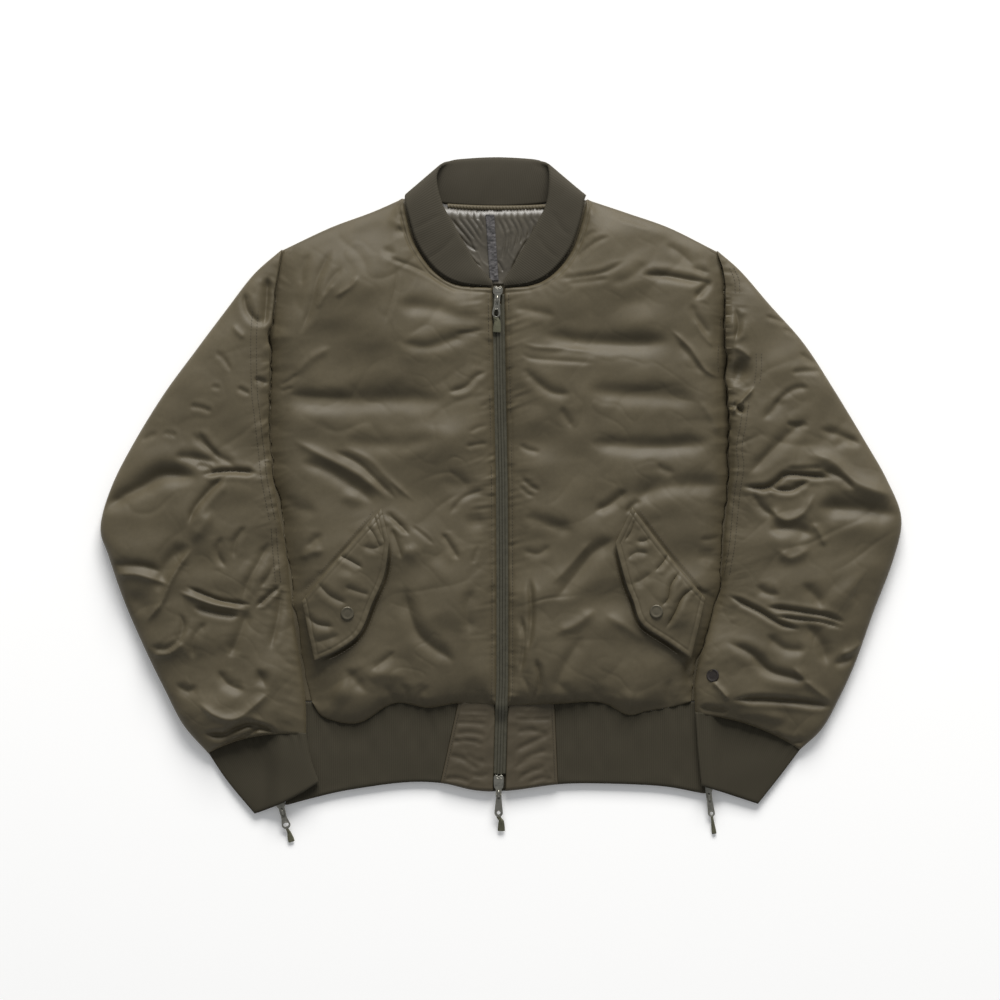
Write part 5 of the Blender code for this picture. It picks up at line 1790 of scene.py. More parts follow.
@dataclass
class Cuff:
    """Ribbed cuff: a flattened tube that lies partly on the hem band."""

    side: Side
    rings: int = 44
    over: int = 210
    under: int = 24
    width: float = 122.0

    def build(self) -> bpy.types.Object:
        """Makes the tube, with soft cross folds and a turned lower edge.

        Returns:
            The cuff.
        """
        share, face = round_shares(self.over, self.under)
        along = even(self.rings)
        rows = rows_between(CUFF_RINGS[self.side], along)
        plan = ring_plan(rows, share)
        flat = plan.reshape(-1, 2)
        shape = plan.shape[:2]
        lift = (2 * np.sqrt(np.maximum(share * (1 - share), 0))) ** 0.4
        edge = roll((1 - along[:, None]) * 78 + 0.5, 4.0)
        cloth = 1.1 * noise(flat, 30, 11 + self.side.sign, (1.8, 25 * self.side.sign)).reshape(shape)
        cloth += 1.4 * np.exp(-along[:, None] * 9) * np.cos(share * 61 + 2 * np.sin(share * 13))
        middle = cuff_lift(plan[..., 0], self.side) + CUFF_THICK / 2
        top = (CUFF_THICK / 2 * (0.45 + 0.55 * edge) + cloth * 0.7 + ribs(share * self.width)) * lift
        outside = np.dstack((plan, middle + np.where(face > 0, top, -CUFF_THICK / 2 * lift)))
        inner = rows_between(CUFF_RINGS[self.side], even(6))
        inset = (RIB / np.linalg.norm(inner[:, 2:4] - inner[:, 0:2], axis=1))[:, None]
        plan = ring_plan(inner, inset + (1 - 2 * inset) * share)
        middle = cuff_lift(plan[..., 0], self.side) + CUFF_THICK / 2
        inside = np.dstack((plan, middle + 0.4 * face * lift))
        u = np.broadcast_to(share * self.width, outside.shape[:2])
        v = np.broadcast_to(along[:, None] * 78, outside.shape[:2])
        inner_u = np.broadcast_to(share * self.width, inside.shape[:2])
        uv = [np.dstack(pair).reshape(-1, 2) for pair in ((u, v), (inner_u, 0 * inner_u))]
        name, turned_over = "cuff_knit_" + self.side.value, self.side is Side.LEFT
        made = hollow_tube(name, outside, inside, KNIT, turned_over, np.vstack(uv) * MM)
        return settle(made, ["cuff_" + self.side.value])


def band_plan(start: Array, end: Array, columns: int) -> Array:
    """Plan of a piece of the hem band between two side lines, from its lower edge to its seam.

    Args:
        start: side line at the first column, from below.
        end: side line at the last column.
        columns: steps from one to the other.

    Returns:
        Grid of plan points.
    """
    share = even(columns)
    x = start[0, 0] + share * (end[0, 0] - start[0, 0])
    bottom = np.column_stack((x, hem_bottom(x)))
    bottom[0], bottom[-1] = start[0], end[0]
    return coons(bottom, start[-1] + share[:, None] * (end[-1] - start[-1]), start, end)


def straight(start: Sequence[float], end: Sequence[float], count: int) -> Array:
    """Evenly spaced points from one to another."""
    return np.array(start, float) + even(count)[:, None] * (np.array(end, float) - start)


@dataclass
class HemBand:
    """Hem band: ribs at the back and on each front, and a satin facing on each side of the zip."""

    rows: int = 44
    rib_step: float = 0.58
    back_step: float = 2.32
    facing_pitch: float = 0.9

    def knit(
        self, name: str, sides: tuple[Array, Array], step: float, heights: tuple[float, float], seed: int
    ) -> bpy.types.Object:
        """One knitted piece, its lower edge turned and its top gathered under the blousing.

        Args:
            name: the piece's name.
            sides: its two side lines, from below.
            step: width of a column.
            heights: height of its underside and of its top.
            seed: fixes the random numbers.

        Returns:
            The piece.
        """
        start, end = sides
        plan = band_plan(start, end, int(abs(end[0, 0] - start[0, 0]) / step))
        if start[0, 0] > end[0, 0]:
            plan = plan[:, ::-1]
        flat = plan.reshape(-1, 2)
        lower = flat[:, 1] - hem_bottom(flat[:, 0])
        below = BODY_HEM_Y - flat[:, 1]
        cloth = 0.7 * noise(flat, 26, seed, (1.6, 90)) + 0.5 * noise(flat, 11, seed + 1, (2.0, 90))
        gathers = np.exp(-below / 20) * np.cos(flat[:, 0] / 2.3 + 1.5 * noise(flat, 20, seed + 2))
        turn = (1 - roll(lower + 0.3, 3.6)) * 2.4
        z = heights[1] - turn + cloth * ease(lower / 10) + gathers + ribs(flat[:, 0])
        return panel(name, np.dstack((plan, z.reshape(plan.shape[:2]))), heights[0], KNIT, 0.3)

    def facing(self, side: Side, outer: Array, inner: Array, stitching: Stitching) -> bpy.types.Object:
        """The satin facing, wrinkled across, with a stitched row beside the knit.

        Args:
            side: which facing.
            outer: its line beside the knit, from below.
            inner: its line beside the zip, from below.
            stitching: where its row of stitches goes.

        Returns:
            The facing.
        """
        plan = band_plan(outer, inner, int(abs(outer[0, 0] - inner[0, 0]) / self.facing_pitch))
        if side is Side.LEFT:
            plan = plan[:, ::-1]
        flat = plan.reshape(-1, 2)
        away = nearest_on(outer, flat).distance
        other = nearest_on(inner, flat).distance
        lower = np.maximum(flat[:, 1] - hem_bottom(flat[:, 0]), 0)
        lift = roll(away + 0.2, 2.2) * roll(other + 0.2, 1.6) * roll(lower + 0.2, 2.6)
        groove = 0.5 * np.exp(-(((away - 3) / 1.1) ** 2))
        wrinkles = crease_height(flat, FACING_CREASES[side]) + 0.35 * noise(flat, 8, 21, (2.4, 8))
        wrinkles += 0.5 * crumple(flat, 11, 23, (2.6, 12))
        z = FACING_TOP - 2.0 + lift * (2.2 + (wrinkles + 0.5) * ease((away - 2) / 4)) - groove
        top = np.dstack((plan, z.reshape(plan.shape[:2])))
        made = panel("facing_padded_" + side.value, top, HEM_FRONT_LOW, FACING, 0.2)
        ground = Ground(top.reshape(-1, 3))
        stitching.row(outer[2:-2:6] - side.sign * np.array((3.0, 0)), ground, 3.0)
        return settle(made, ["hem_facing_" + side.value])

    def build(self, stitching: Stitching) -> None:
        """Makes all five pieces.

        Args:
            stitching: where the rows of stitches go.
        """
        share, seam_y = even(self.rows), BODY_HEM_Y - 0.3
        sides = {side: smooth(HEM_SIDE[side], share) for side in Side}
        both = sides[Side.RIGHT], sides[Side.LEFT]
        made = self.knit("hem_knit_back", both, self.back_step, (0.2, HEM_BACK_TOP), 3)
        settle(made, ["hem_rib_back"])
        for side in Side:
            at_seam, at_bottom = FACING_EDGE[side]
            outer = straight((at_bottom, hem_bottom(at_bottom)), (at_seam, seam_y), self.rows)
            both = sides[side], outer + (side.sign * KNIT_GAP, 0)
            heights = HEM_FRONT_LOW, HEM_FRONT_TOP
            made = self.knit("hem_knit_" + side.value, both, self.rib_step, heights, 13)
            settle(made, ["hem_rib_" + side.value])
            top_x, bottom_x = (zip_x(y) + side.sign * ZIP_HALF for y in (seam_y, ZIP_LINE[-1][1]))
            inner = straight((bottom_x, hem_bottom(bottom_x)), (top_x, seam_y), self.rows)
            self.facing(side, outer, inner, stitching)


@dataclass
class Collar:
    """Rib collar: one knitted strip that stands behind the neck and folds over at both sides."""

    steps: int = 800
    across: int = 16
    roll_over: float = 5.0

    def build(self) -> bpy.types.Object:
        """Makes the strip, thinner at its free edge, with ribs from its seam to that edge.

        Returns:
            The collar.
        """
        rows = rows_between(COLLAR_ROWS, even(self.steps))
        share = even(self.across)[None, :]
        sewn, free = rows[:, None, 0:2], rows[:, None, 2:4]
        plan = sewn + share[..., None] * (free - sewn)
        width = np.linalg.norm(free - sewn, axis=2)
        middle = (rows[:, 0:2] + rows[:, 2:4]) / 2
        run = np.concatenate(([0], np.cumsum(np.linalg.norm(np.diff(middle, axis=0), axis=1))))
        flat = plan.reshape(-1, 2)
        bulge = 1.3 * np.sin(np.pi * share) * ease(width / 14)
        cloth = (0.8 * noise(flat, 34, 17) + 0.4 * noise(flat, 14, 19, (2.0, 60))).reshape(plan.shape[:2])
        cloth += 0.4 * crease_height(flat, COLLAR_CREASES).reshape(plan.shape[:2])
        z = rows[:, 4][:, None] + bulge + cloth * ease(width / 12) + 0.35 * ribs(run[:, None])
        thick = RIB * (0.35 + 0.65 * roll((1 - share) * width + 0.3, self.roll_over))
        uv = np.dstack((np.broadcast_to(run[:, None], plan.shape[:2]), share * width)).reshape(-1, 2) * MM
        z = np.maximum(z, thick / 2 + 0.2)
        made = wall("collar_knit", np.dstack((plan, z)), thick, COLLAR_KNIT, uv)
        return settle(made, ["collar"])


COLLAR_CREASES = creases(
    (3, 0.9, 0.4, 0, 1.4, -88, 268, -66, 282, -50, 300),
    (3, 0.8, 0.4, 0, 1.4, -101, 302, -84, 312, -66, 322),
    (3.4, 1.1, 0.4, 0, 1.4, 78, 296, 66, 308, 58, 326),
    (3, 0.9, 0.4, 0, 1.4, 66, 270, 50, 284, 40, 300),
    (3, 1, 0.4, 0, 1.4, 34, 380, 42, 376, 52, 372),
)
LINING_CREASES = creases(
    *((width, depth, 0.7, 0, 1.1, *path) for width, depth, *path in (
        (1.5, 1.3, -58, 319, -44, 302, -30, 284),
        (1.3, 1.2, -51, 321, -40, 307, -28, 292),
        (1.2, 1.1, -43, 321, -32, 307, -22, 290),
        (1.3, 1.1, -36, 322, -28, 312, -20, 299),
        (1.6, 1.5, -49, 300, -38, 288, -25, 279),
        (1.3, 1, -60, 306, -50, 292, -40, 276),
        (1.2, 1, -42, 282, -32, 270, -22, 262),
        (1.3, 1.2, -6, 321, 4, 298, 1, 270),
        (1.2, 1.1, 1, 321, 10, 300, 7, 274),
        (1.3, 1.3, 8, 321, 18, 301, 14, 280),
        (1.2, 1.1, 15, 321, 24, 302, 21, 286),
        (1.3, 1, 23, 321, 31, 305, 29, 294),
        (1.3, 1, 31, 321, 38, 308, 37, 298),
        (1.6, 1.3, -5, 270, -1, 264, 3, 256),
        (1.4, 1.2, 32, 296, 22, 280, 11, 258),
        (1.4, 0.9, -30, 318, -24, 316, -19, 306),
    ))
)


@dataclass
class NeckInside:
    """What shows inside the neck: crinkled lining, its seam tape and the piping under the collar."""

    pitch: float = 1.15

    def lining(self) -> bpy.types.Object:
        """Thin shiny lining, drawn into fans of fine folds on both sides of the tape.

        Returns:
            The lining.
        """
        right, left = (smooth(LINING_EDGE[side], even(int(96 / self.pitch))) for side in Side)
        x = np.linspace(right[-1, 0], left[-1, 0], int(178 / self.pitch) + 1)
        top = np.column_stack((x, 327 + (x / 90) ** 2 * 5))
        right[-1], left[-1] = top[0], top[-1]
        plan = coons(np.linspace(right[0], left[0], len(x)), top, right, left)
        flat = plan.reshape(-1, 2)
        z = 12.2 + crease_height(flat, LINING_CREASES) + 0.5 * noise(flat, 12, 33, (1.5, 60))
        z += 0.55 * crumple(flat, 8, 35, (2.6, 118))
        made = wall("lining_crinkled", np.dstack((plan, z.reshape(plan.shape[:2]))), 1.0, LINING, flat * MM)
        return settle(made, ["back_lining"])

    def tape(self) -> bpy.types.Object:
        """Speckled, bumpy tape over the lining's middle seam.

        Returns:
            The tape.
        """
        line = straight((-7.5, 247), (-12.5, 321), 120)
        share = even(14)
        plan = line[:, None] + (share[None, :, None] - 0.5) * (9.5, 0)
        flat = plan.reshape(-1, 2)
        fall = 0.6 * np.abs(2 * share[None] - 1).repeat(len(line), 0).ravel() ** 4
        z = 14.0 + 0.5 * crumple(flat, 3.2, 43) + 0.4 * noise(flat, 2.2, 44) - fall
        grid = np.dstack((plan, z.reshape(plan.shape[:2])))
        made = wall("lining_seam_tape", grid, 0.9, SPECKLED, flat * MM)
        return settle(made, ["lining_tape"])

    def piping(self) -> bpy.types.Object:
        """Twisted satin piping along the back of the neck.

        Returns:
            The piping.
        """
        x = np.linspace(-60, 51, 200)
        y = 328.6 + (x / 90) ** 2 * 5
        across = even(16)
        turn = np.pi * across[None]
        twist = 0.35 * np.sin(x[:, None] * 1.7 + 5 * across[None])
        plan_y = y[:, None] - np.cos(turn) * 2.7
        z = 11.6 + (2.6 + twist) * np.sin(turn)
        top = np.dstack((np.broadcast_to(x[:, None], z.shape), plan_y, z))[:, ::-1]
        made = panel("neck_piping_cord", top, 11.2, SATIN, 0.2)
        return settle(made, ["neck_piping"])


# ---------------------------------------------------------------- pocket flaps and small parts


@dataclass
class PocketFlap:
    """Slanted pocket flap that lies on its front, with a snap cap near its lower corner."""

    side: Side
    on: Front
    snap: tuple[float, float]
    lift: float = 3.0
    thick: float = 2.6

    def build(self, stitching: Stitching) -> None:
        """Makes the flap from the front's own form, then the snap on it.

        Args:
            stitching: where its rows of stitches go.
        """
        sewn, free = FLAP[self.side]
        rows, columns = 150, 58
        edges = smooth(sewn, even(rows)), smooth(free, even(rows))
        plan = coons(straight(sewn[0], free[0], columns), straight(sewn[-1], free[-1], columns), *edges)
        flat = plan.reshape(-1, 2)
        broad = self.on.smooth_height(flat)
        from_free = nearest_on(edges[1][::4], flat).distance
        from_sewn = nearest_on(edges[0][::4], flat).distance
        ends = np.minimum(nearest_on(plan[0], flat).distance, nearest_on(plan[-1], flat).distance)
        rim = np.minimum(from_free, ends)
        groove = 0.7 * np.exp(-(((rim - 5.2) / 1.2) ** 2)) + 0.6 * np.exp(-(((from_sewn - 5.2) / 1.2) ** 2))
        gathers = 0.5 * puckers(nearest_on(edges[1][::4], flat), 9.0, 8.0, 71) * ease(rim / 3)
        folds = 0.85 * crease_height(flat, FLAP_CREASES[self.side]) + 0.2 * cloth_noise(flat, 76)
        folds *= 0.3 + 0.7 * ease(rim / 10)
        folds += 0.85 * cloth_noise(flat, 70 + self.side.sign)
        lift = self.lift * (0.25 + 0.75 * roll(from_sewn + 0.4, 8.0)) + 0.8 * ease(1 - from_free / 14)
        z = (broad + lift + folds - groove + gathers).reshape(plan.shape[:2])
        fullness = 0.35 + 0.65 * roll(np.minimum(rim, from_sewn) + 0.3, 2.6)
        grid, thick = np.dstack((plan, z)), self.thick * fullness.reshape(plan.shape[:2])
        if self.side is Side.LEFT:
            grid, thick = grid[:, ::-1], thick[:, ::-1]
        made = wall("pocket_flap_padded_" + self.side.value, grid, thick, SATIN, flat * MM)
        ground = Ground(grid.reshape(-1, 3) + (0, 0, self.thick / 2))
        out = self.side.sign
        stitching.row(offset_line(edges[1][::8], -5.2 * out)[1:-1], ground)
        stitching.row(offset_line(edges[0][::8], 5.2 * out)[1:-1], ground)
        settle(made, ["pocket_flap_" + self.side.value])
        place = np.array([self.snap], float)
        profile = (
            (7.5, 0.0), (7.5, 1.2), (7.1, 1.9), (6.2, 2.2), (5.3, 1.9), (4.8, 1.7), (3.0, 2.0), (0.0, 2.2),
        )
        centre = np.array((*self.snap, float(ground.height(place)[0]) - 0.1))
        cap = turned("snap_cap_" + self.side.value, profile, centre, ground.normal(place)[0], CAP)
        settle(cap, ["snap_" + self.side.value])


def turned(name: str, profile: Line, centre: Array, normal: Array, finish: Finish) -> bpy.types.Object:
    """Round piece from a profile of (radius, height) pairs, closed by a flat base, square to a surface.

    Args:
        name: the piece's name.
        profile: (radius, height) pairs from the base to the middle.
        centre: middle of the base.
        normal: unit direction out of the surface.
        finish: what the piece is made of.

    Returns:
        The closed piece.
    """
    steps = 48
    angle = 2 * np.pi * np.arange(steps) / steps
    rings = np.array(profile, float)[:-1]
    x = rings[:, 0, None] * np.cos(angle)
    y = rings[:, 0, None] * np.sin(angle)
    local = np.dstack((x, y, np.broadcast_to(rings[:, 1, None], x.shape))).reshape(-1, 3)
    local = np.vstack((local, (0, 0, profile[-1][1])))
    turn = np.array(Vector((0, 0, 1)).rotation_difference(Vector(normal)).to_matrix())
    last = (len(rings) - 1) * steps
    around = np.arange(steps)
    fan = np.column_stack((around + last, (around + 1) % steps + last, np.full(steps, len(local) - 1)))
    faces = [quads(len(rings), steps, 0, True), fan, around[::-1][None]]
    return write_mesh(name, local @ turn.T + centre, faces, finish)


@dataclass
class Badge:
    """Plain round patch on the left sleeve."""

    x: float = 237.5
    y: float = -196.0
    radius: float = 7.3

    def build(self, on: Sleeve) -> None:
        """Makes the patch with a raised sewn rim.

        Args:
            on: the sleeve that bears it.
        """
        place = np.array([(self.x, self.y)])
        r = self.radius
        profile = ((r, 0), (r, 1.0), (r - 0.6, 1.5), (r - 1.4, 1.4), (r - 1.9, 1.0), (0.5 * r, 1.1), (0, 1.2))
        centre = np.array((self.x, self.y, float(on.ground.height(place)[0]) - 0.5))
        made = turned("sleeve_patch_disc", profile, centre, on.ground.normal(place)[0], PATCH)
        settle(made, ["sleeve_badge"])


# ---------------------------------------------------------------- zips


def zip_height(y: Array) -> Array:
    """Height of the zip's tape: on the back panel, then down to the hem band."""
    return 5.2 + (BACK_TOP + 1.2 - 5.2) * ease((y - ZIP_DROP[0]) / (ZIP_DROP[1] - ZIP_DROP[0]))


@dataclass
class FrontZip:
    """Reversed coil zip, closed between its two sliders: smooth strips over the coil, and tapes."""

    pitch: float = 1.6

    def strip(
        self, name: str, ends: Sequence[float], across: Array, rise: Array, finish: Finish, ripple: float
    ) -> bpy.types.Object:
        """A ribbon along the zip's middle line from its cross section, its ripples in step with the coil.

        Args:
            name: the piece's name.
            ends: y of its lower and upper end.
            across: places across it, from the middle line.
            rise: height at each of them over the tape line.
            finish: what it is made of.
            ripple: height of its ripples.

        Returns:
            The ribbon.
        """
        y = np.arange(*ends, self.pitch / 3 if ripple else self.pitch)
        wave = ripple * np.cos(2 * np.pi * y / self.pitch)
        x = zip_x(y)[:, None] + across
        z = zip_height(y)[:, None] + rise + wave[:, None] * np.cos(across / CHAIN_HALF * 1.3)
        grid = np.dstack((x, np.broadcast_to(y[:, None], x.shape), z))
        return wall(name, grid, 0.9, finish, grid[..., :2].reshape(-1, 2) * MM)

    def build(self) -> None:
        """Makes the coil and both tapes."""
        across = np.array((-3.1, -2.9, -2.2, -1.4, -0.7, -0.35, 0, 0.35, 0.7, 1.4, 2.2, 2.9, 3.1))
        rise = np.array((0.2, 1.1, 1.5, 1.6, 1.5, 1.0, 0.5, 1.0, 1.5, 1.6, 1.5, 1.1, 0.2))
        coil = self.strip("zip_coil", (-307.6, 220.6), across, rise, CHAIN, 0.12)
        settle(coil, ["zip_chain"])
        for side in Side:
            across = side.sign * np.array((3.4, 3.8, 4.6, 5.4, 6.2, 6.9))[:: side.sign]
            rise = np.array((0.2, 0.7, 0.8, 0.7, 0.8, 0.9))[:: side.sign]
            tape = self.strip("zip_tape_woven_" + side.value, (-307.6, 232.0), across, rise, TAPE, 0.0)
            settle(tape, ["zip_tape_" + side.value])


SIDE_ZIPS = {
    Side.RIGHT: ((-225, -281), (-246, -336)),
    Side.LEFT: ((218.5, -277), (232, -319)),
}


def side_zip(side: Side) -> None:
    """Short zip at the side of the hem band: a tape with a raised coil.

    Args:
        side: which side of the hem.
    """
    top, bottom = SIDE_ZIPS[side]
    line = straight(bottom, top, 150)
    across = np.array((-3.2, -2.6, -1.4, -0.9, 0, 0.9, 1.4, 2.6, 3.2))
    rise = np.array((2.6, 3.6, 3.7, 4.5, 4.9, 4.5, 3.7, 3.6, 2.6))
    teeth = 0.3 * np.cos(np.arange(len(line)) * 1.9)[:, None] * np.exp(-(across**2))
    x = line[:, :1] + across
    grid = np.dstack((x, np.broadcast_to(line[:, 1:], x.shape), rise + teeth))
    made = wall("side_zip_tape_" + side.value, grid, 1.2, TAPE, grid[..., :2].reshape(-1, 2) * MM)
    settle(made, ["side_zip_" + side.value])


@dataclass(frozen=True)
class Slider:
    """A zip slider with its bail, its pull and the tail on the pull. Its hinge axis is its own x."""

    name: str
    x: float
    y: float
    deck: float
    heading: float
    length: float
    half: float
    pull: float
    tilt: float
    step: float
    narrow: float
    wide: float
    tail: float
    tail_tilt: float
    hole: tuple[float, float] = (2.1, 2.1)
    end: float = 4.8
    hinge: float = 2.2
    bail: float = 4.8

    def place(self) -> Array:
        """4 x 4 matrix from the slider's frame to the world, in millimetres.

        Returns:
            The matrix.
        """
        turn = math.radians(self.heading)
        made = np.eye(4)
        made[:2, :2] = ((math.cos(turn), -math.sin(turn)), (math.sin(turn), math.cos(turn)))
        made[:3, 3] = self.x, self.y, self.deck + self.hinge
        return made

    def tilted(self) -> Array:
        """The pull's own matrix."""
        return self.place() @ about_x(self.tilt)

    def body(self) -> bpy.types.Object:
        """Slider: two plates with a waist between them, side lips, and an arched bail.

        Returns:
            The slider.
        """
        h, start, end = self.half, 4.6, 4.6 + self.length
        top = -self.hinge
        half = (
            (3.2, -4.6), (3.4, start), (h - 0.5, start + 2), (h, start + 0.35 * self.length),
            (h, end - 2.2), (h - 1.6, end), (1.5, end), (0.6, end - 1.2),
        )
        upper = [(-half[0][0], half[0][1]), *half, *((-x, y) for x, y in half[:0:-1])]
        lower = [(x * 0.96, max(y, start)) for x, y in upper[2:]]
        middle = start + 0.5 * self.length
        ring = [(0.74 * x, middle + 0.62 * (y - middle)) for x, y in upper[3:15]]
        arch = np.linspace(0, np.pi, 15)
        rise = np.sin(arch) ** 0.5 * (self.bail - 0.7)
        path = np.column_stack((0 * arch, 3.8 * np.cos(arch), top + rise - 0.2))
        parts = [
            plate([upper], (top - 1.5, top), 0.35), plate([lower], (top - 4.6, top - 3.0), 0.4),
            plate([ring], (top - 3.2, top - 1.3), 0.1), plate([ring], (top - 0.3, top + 0.5), 0.3),
            swept(path, 0.62, 1.0),
        ]
        return joined("slider_metal_" + self.name, parts, self.place(), METAL)

    def puller(self) -> bpy.types.Object:
        """Flat pull that widens to its ring, with an eye for the bail and a raised rim.

        Returns:
            The pull.
        """
        centre = -(self.pull - self.end)
        turn = np.linspace(0, np.pi, 17)
        outer = [(3.4, -0.8), (3.0, -3.6), (3.4, -8.0)]
        outer += [(self.end * math.cos(a), centre - self.end * math.sin(a)) for a in turn]
        outer += [(-3.4, -8.0), (-3.0, -3.6), (-3.4, -0.8)]
        eye = [(-1.45, -6.2), (1.45, -6.2), (1.45, -1.0), (-1.45, -1.0)]
        ring, rim = (
            [((self.hole[0] + grow) * math.cos(a), centre + (self.hole[1] + grow) * math.sin(a))
             for a in np.arange(24) * np.pi / 12]
            for grow in (0.0, 1.0)
        )
        parts = [plate([outer, eye, ring], (-0.8, 0.8), 0.3), plate([rim, ring], (0.6, 1.15), 0.2)]
        return joined("pull_metal_" + self.name, parts, self.tilted(), METAL)

    def cord(self) -> bpy.types.Object:
        """Flat braided tail that fans out, from a grid with a braid in relief.

        Returns:
            The tail.
        """
        along, across = even(44)[:, None], np.linspace(-1, 1, 17)[None]
        width = self.narrow + (self.wide - self.narrow) * ease(along * 1.15)
        x = 0.5 * width * across + self.step * ease(along * 3)
        y = -along * self.tail + 0 * across
        run, side = along * self.tail, 0.5 * width * across
        braid = 0.2 * np.abs(np.sin(2.2 * (run + side)) * np.sin(2.2 * (run - side)))
        grid = np.dstack((x, y, braid + 0 * x))
        thick = 1.7 * np.sqrt(np.maximum(1 - np.abs(across) ** 3.0, 0.04))
        thick = thick * (0.5 + 0.5 * roll(1 - along + 0.02, 0.1))
        hinge = self.tilted() @ moved(0, -self.pull + 0.3, 0) @ about_x(self.tail_tilt - self.tilt)
        flat = grid.reshape(-1, 3)
        grid = (np.column_stack((flat, np.ones(len(flat)))) @ hinge.T)[:, :3].reshape(grid.shape)
        uv = np.column_stack(((side + 0 * run).ravel(), (run + 0 * side).ravel())) * MM
        return wall("tail_cord_" + self.name, grid[:, ::-1], thick[:, ::-1] + 0 * x, CORD, uv)

    def build(self) -> None:
        """Makes the slider on the jacket, and the pull and tail on the pull's body."""
        settle(self.body(), ["slider_" + self.name])
        settle(self.puller(), ["pull_" + self.name], "pull_" + self.name)
        settle(self.cord(), ["tail_" + self.name], "pull_" + self.name)


SLIDERS = (
    Slider("top", -4.2, 226, 17, -4, 10, 5.5, 20.5, 4, 2, 6, 9, 17, 4, hole=(2.6, 4.0), end=4.9),
    Slider("bottom", -2.6, -329, 10.4, 0, 16, 5.6, 27, 12, 3, 5, 8, 17, 15),
    Slider("side_right", -245.5, -350, 6, 15, 8, 5, 20, 10, 1, 3, 7, 16, 10, hole=(3.2, 2.2), end=5.0),
    Slider("side_left", 234, -333, 6, 8, 8, 5, 23, 9, 0, 2.6, 5, 20, 8, hole=(1.9, 1.9), end=4.0),
)


def about_x(degrees: float) -> Array:
    """4 x 4 turn about x.

    Args:
        degrees: angle of the turn.

    Returns:
        The matrix.
    """
    made, turn = np.eye(4), math.radians(degrees)
    made[1:3, 1:3] = ((math.cos(turn), -math.sin(turn)), (math.sin(turn), math.cos(turn)))
    return made


def moved(x: float, y: float, z: float) -> Array:
    """4 x 4 shift.

    Args:
        x: shift along x.
        y: shift along y.
        z: shift along z.

    Returns:
        The matrix.
    """
    made = np.eye(4)
    made[:3, 3] = x, y, z
    return made


def mesh_arrays(mesh: bpy.types.Mesh) -> tuple[Array, list[tuple[int, ...]]]:
    """A mesh's points in millimetres and its faces.

    Args:
        mesh: the mesh to read.

    Returns:
        Points and faces.
    """
    points = np.empty(len(mesh.vertices) * 3, np.float32)
    mesh.vertices.foreach_get("co", points)
    return points.reshape(-1, 3) / MM, [tuple(p.vertices) for p in mesh.polygons]


def plate(loops: Sequence[Line], heights: tuple[float, float], edge: float) -> tuple[Array, list]:
    """Flat plate with softened edges from an outline and its holes, lying in x and y.

    Args:
        loops: the outline, then its holes.
        heights: height of the underside and of the top.
        edge: radius of the softened edges.

    Returns:
        Points and faces.
    """
    curve = bpy.data.curves.new("plate", "CURVE")
    curve.dimensions, curve.fill_mode = "2D", "BOTH"
    curve.extrude = ((heights[1] - heights[0]) / 2 - edge) * MM
    curve.bevel_depth, curve.bevel_resolution, curve.offset = edge * MM, 2, -edge * MM
    for loop in loops:
        spline = curve.splines.new("POLY")
        spline.points.add(len(loop) - 1)
        values = np.column_stack((np.array(loop) * MM, np.zeros(len(loop)), np.ones(len(loop))))
        spline.points.foreach_set("co", values.ravel())
        spline.use_cyclic_u = True
    helper = bpy.data.objects.new("plate", curve)
    bpy.context.scene.collection.objects.link(helper)
    mesh = bpy.data.meshes.new_from_object(helper.evaluated_get(bpy.context.evaluated_depsgraph_get()))
    points, faces = mesh_arrays(mesh)
    bpy.data.objects.remove(helper)
    bpy.data.curves.remove(curve)
    bpy.data.meshes.remove(mesh)
    return points + (0, 0, sum(heights) / 2), faces


def swept(path: Array, radius: float, wide: float) -> tuple[Array, list]:
    """Rounded bar along a path that lies in the y-z plane, closed at both ends.

    Args:
        path: (n, 3) middle line.
        radius: half of the bar's height.
        wide: half of the bar's width.

    Returns:
        Points and faces.
    """
    angle = 2 * np.pi * np.arange(12) / 12
    run = np.gradient(path, axis=0)
    run /= np.linalg.norm(run, axis=1, keepdims=True)
    side = np.array((1.0, 0, 0))
    up = np.cross(run, side)
    out, high = wide * np.cos(angle)[None, :, None], radius * np.sin(angle)[None, :, None]
    rings = path[:, None] + out * side + high * up[:, None]
    count = len(path) * 12
    faces = [tuple(face) for face in quads(len(path), 12, 0, True)]
    return rings.reshape(-1, 3), faces + [tuple(range(12))[::-1], tuple(range(count - 12, count))]


def joined(name: str, parts: Sequence[tuple[Array, list]], place: Array, finish: Finish) -> bpy.types.Object:
    """Several shapes as one piece, put in place, shaded smooth except at sharp edges.

    Args:
        name: the piece's name.
        parts: points and faces of each shape.
        place: 4 x 4 matrix that puts them in place.
        finish: what the piece is made of.

    Returns:
        The piece.
    """
    points = np.vstack([p for p, _ in parts])
    starts = np.concatenate(([0], np.cumsum([len(p) for p, _ in parts])[:-1]))
    faces = [tuple(int(i) + int(start) for i in face) for (_, fs), start in zip(parts, starts) for face in fs]
    points = (np.column_stack((points, np.ones(len(points)))) @ place.T)[:, :3]
    mesh = bpy.data.meshes.new(name)
    mesh.from_pydata((points * MM).tolist(), [], faces)
    mesh.validate()
    made = bpy.data.objects.new(name, mesh)
    bpy.context.scene.collection.objects.link(made)
    mesh.materials.append(finish.material())
    mesh.shade_smooth()
    mesh.set_sharp_from_angle(angle=math.radians(40))
    return made


# ---------------------------------------------------------------- studio


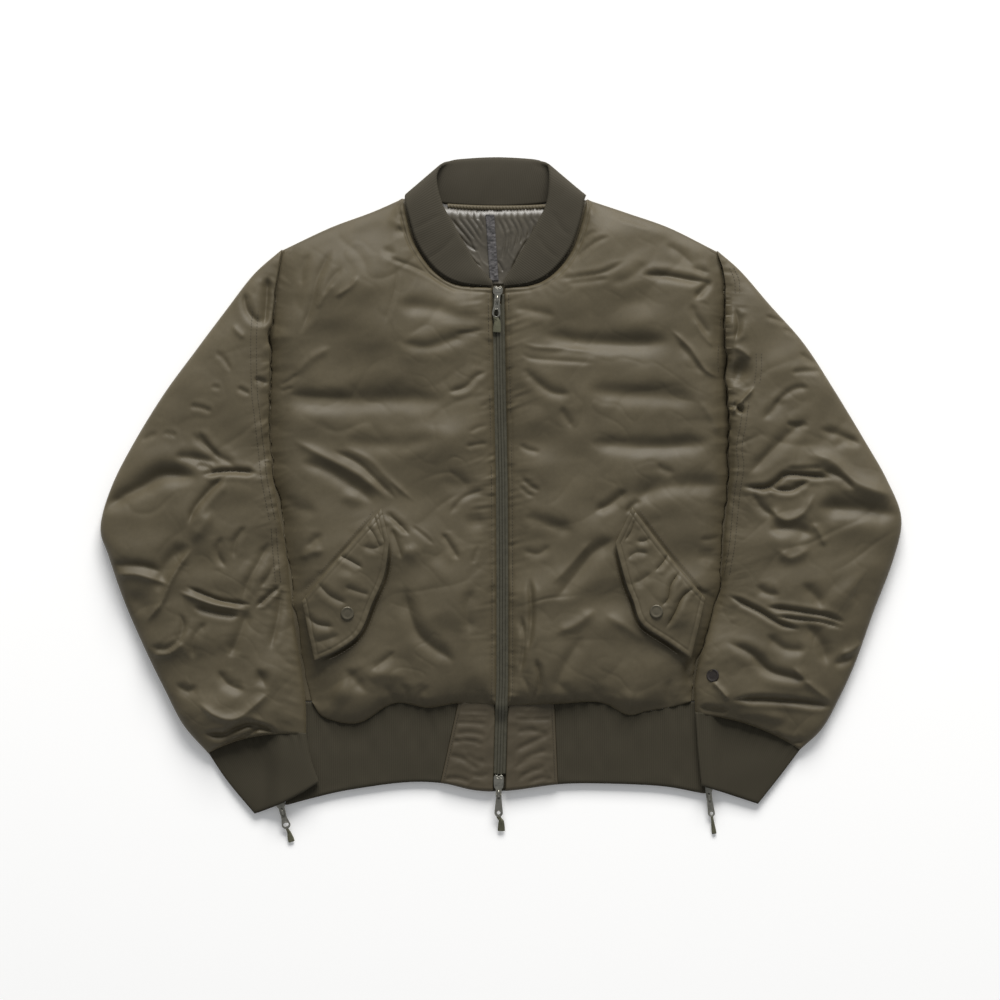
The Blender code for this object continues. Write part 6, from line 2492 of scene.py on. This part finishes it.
@dataclass
class Studio:
    """Pale floor, a large soft light beyond the collar, even fill, and a camera straight above."""

    centre: tuple[float, float] = (-0.0011, 0.0006)
    frame_width: float = 1.125
    distance: float = 7.0
    key_power: float = 900.0
    fill: float = 0.34

    def build(self) -> None:
        """Sets out the studio."""
        scene = bpy.context.scene
        scene.view_settings.view_transform = "Standard"
        floor = write_mesh(
            "studio_floor", np.array(((-4e3, -4e3, 0), (4e3, -4e3, 0), (4e3, 4e3, 0), (-4e3, 4e3, 0)), float),
            [np.array(((0, 1, 2, 3),))], FLOOR,
        )
        key = bpy.data.lights.new("key", "AREA")
        key.shape, key.size, key.size_y, key.energy = "RECTANGLE", 5.2, 3.4, self.key_power
        key.color = (1.0, 0.985, 0.96)
        lamp = bpy.data.objects.new("key", key)
        lamp.location = (0.6, 6.8, 3.8)
        lamp.rotation_euler = (Vector((0, 0, 0)) - lamp.location).to_track_quat("-Z", "Y").to_euler()
        scene.collection.objects.link(lamp)
        world = scene.world or bpy.data.worlds.new("studio")
        scene.world = world
        world.use_nodes = True
        back = world.node_tree.nodes["Background"]
        back.inputs["Color"].default_value = (0.96, 0.98, 1.0, 1)
        back.inputs["Strength"].default_value = self.fill
        lens = bpy.data.cameras.new("camera")
        lens.sensor_width = 36.0
        lens.lens = 18.0 * self.distance / (self.frame_width / 2)
        lens.clip_end = 60.0
        camera = bpy.data.objects.new("camera", lens)
        camera.location = (*self.centre, self.distance)
        scene.collection.objects.link(camera)
        scene.camera = camera


def main() -> None:
    """Dresses every piece of the jacket and sets out the studio."""
    stitching = Stitching()
    Back().build()
    fronts = {side: Front(side) for side in Side}
    sleeves = {side: Sleeve(side) for side in Side}
    snaps = {Side.RIGHT: (-172, -126), Side.LEFT: (174, -124)}
    for side in Side:
        fronts[side].build(stitching)
        sleeves[side].build(stitching)
        PocketFlap(side, fronts[side], snaps[side]).build(stitching)
        Cuff(side).build()
        armhole_seam(side)
        side_zip(side)
    HemBand().build(stitching)
    Collar().build()
    inside = NeckInside()
    inside.lining()
    inside.tape()
    inside.piping()
    Badge().build(sleeves[Side.LEFT])
    FrontZip().build()
    for slider in SLIDERS:
        slider.build()
    stitching.build("topstitching")
    Studio().build()


if __name__ == "__main__":
    main()
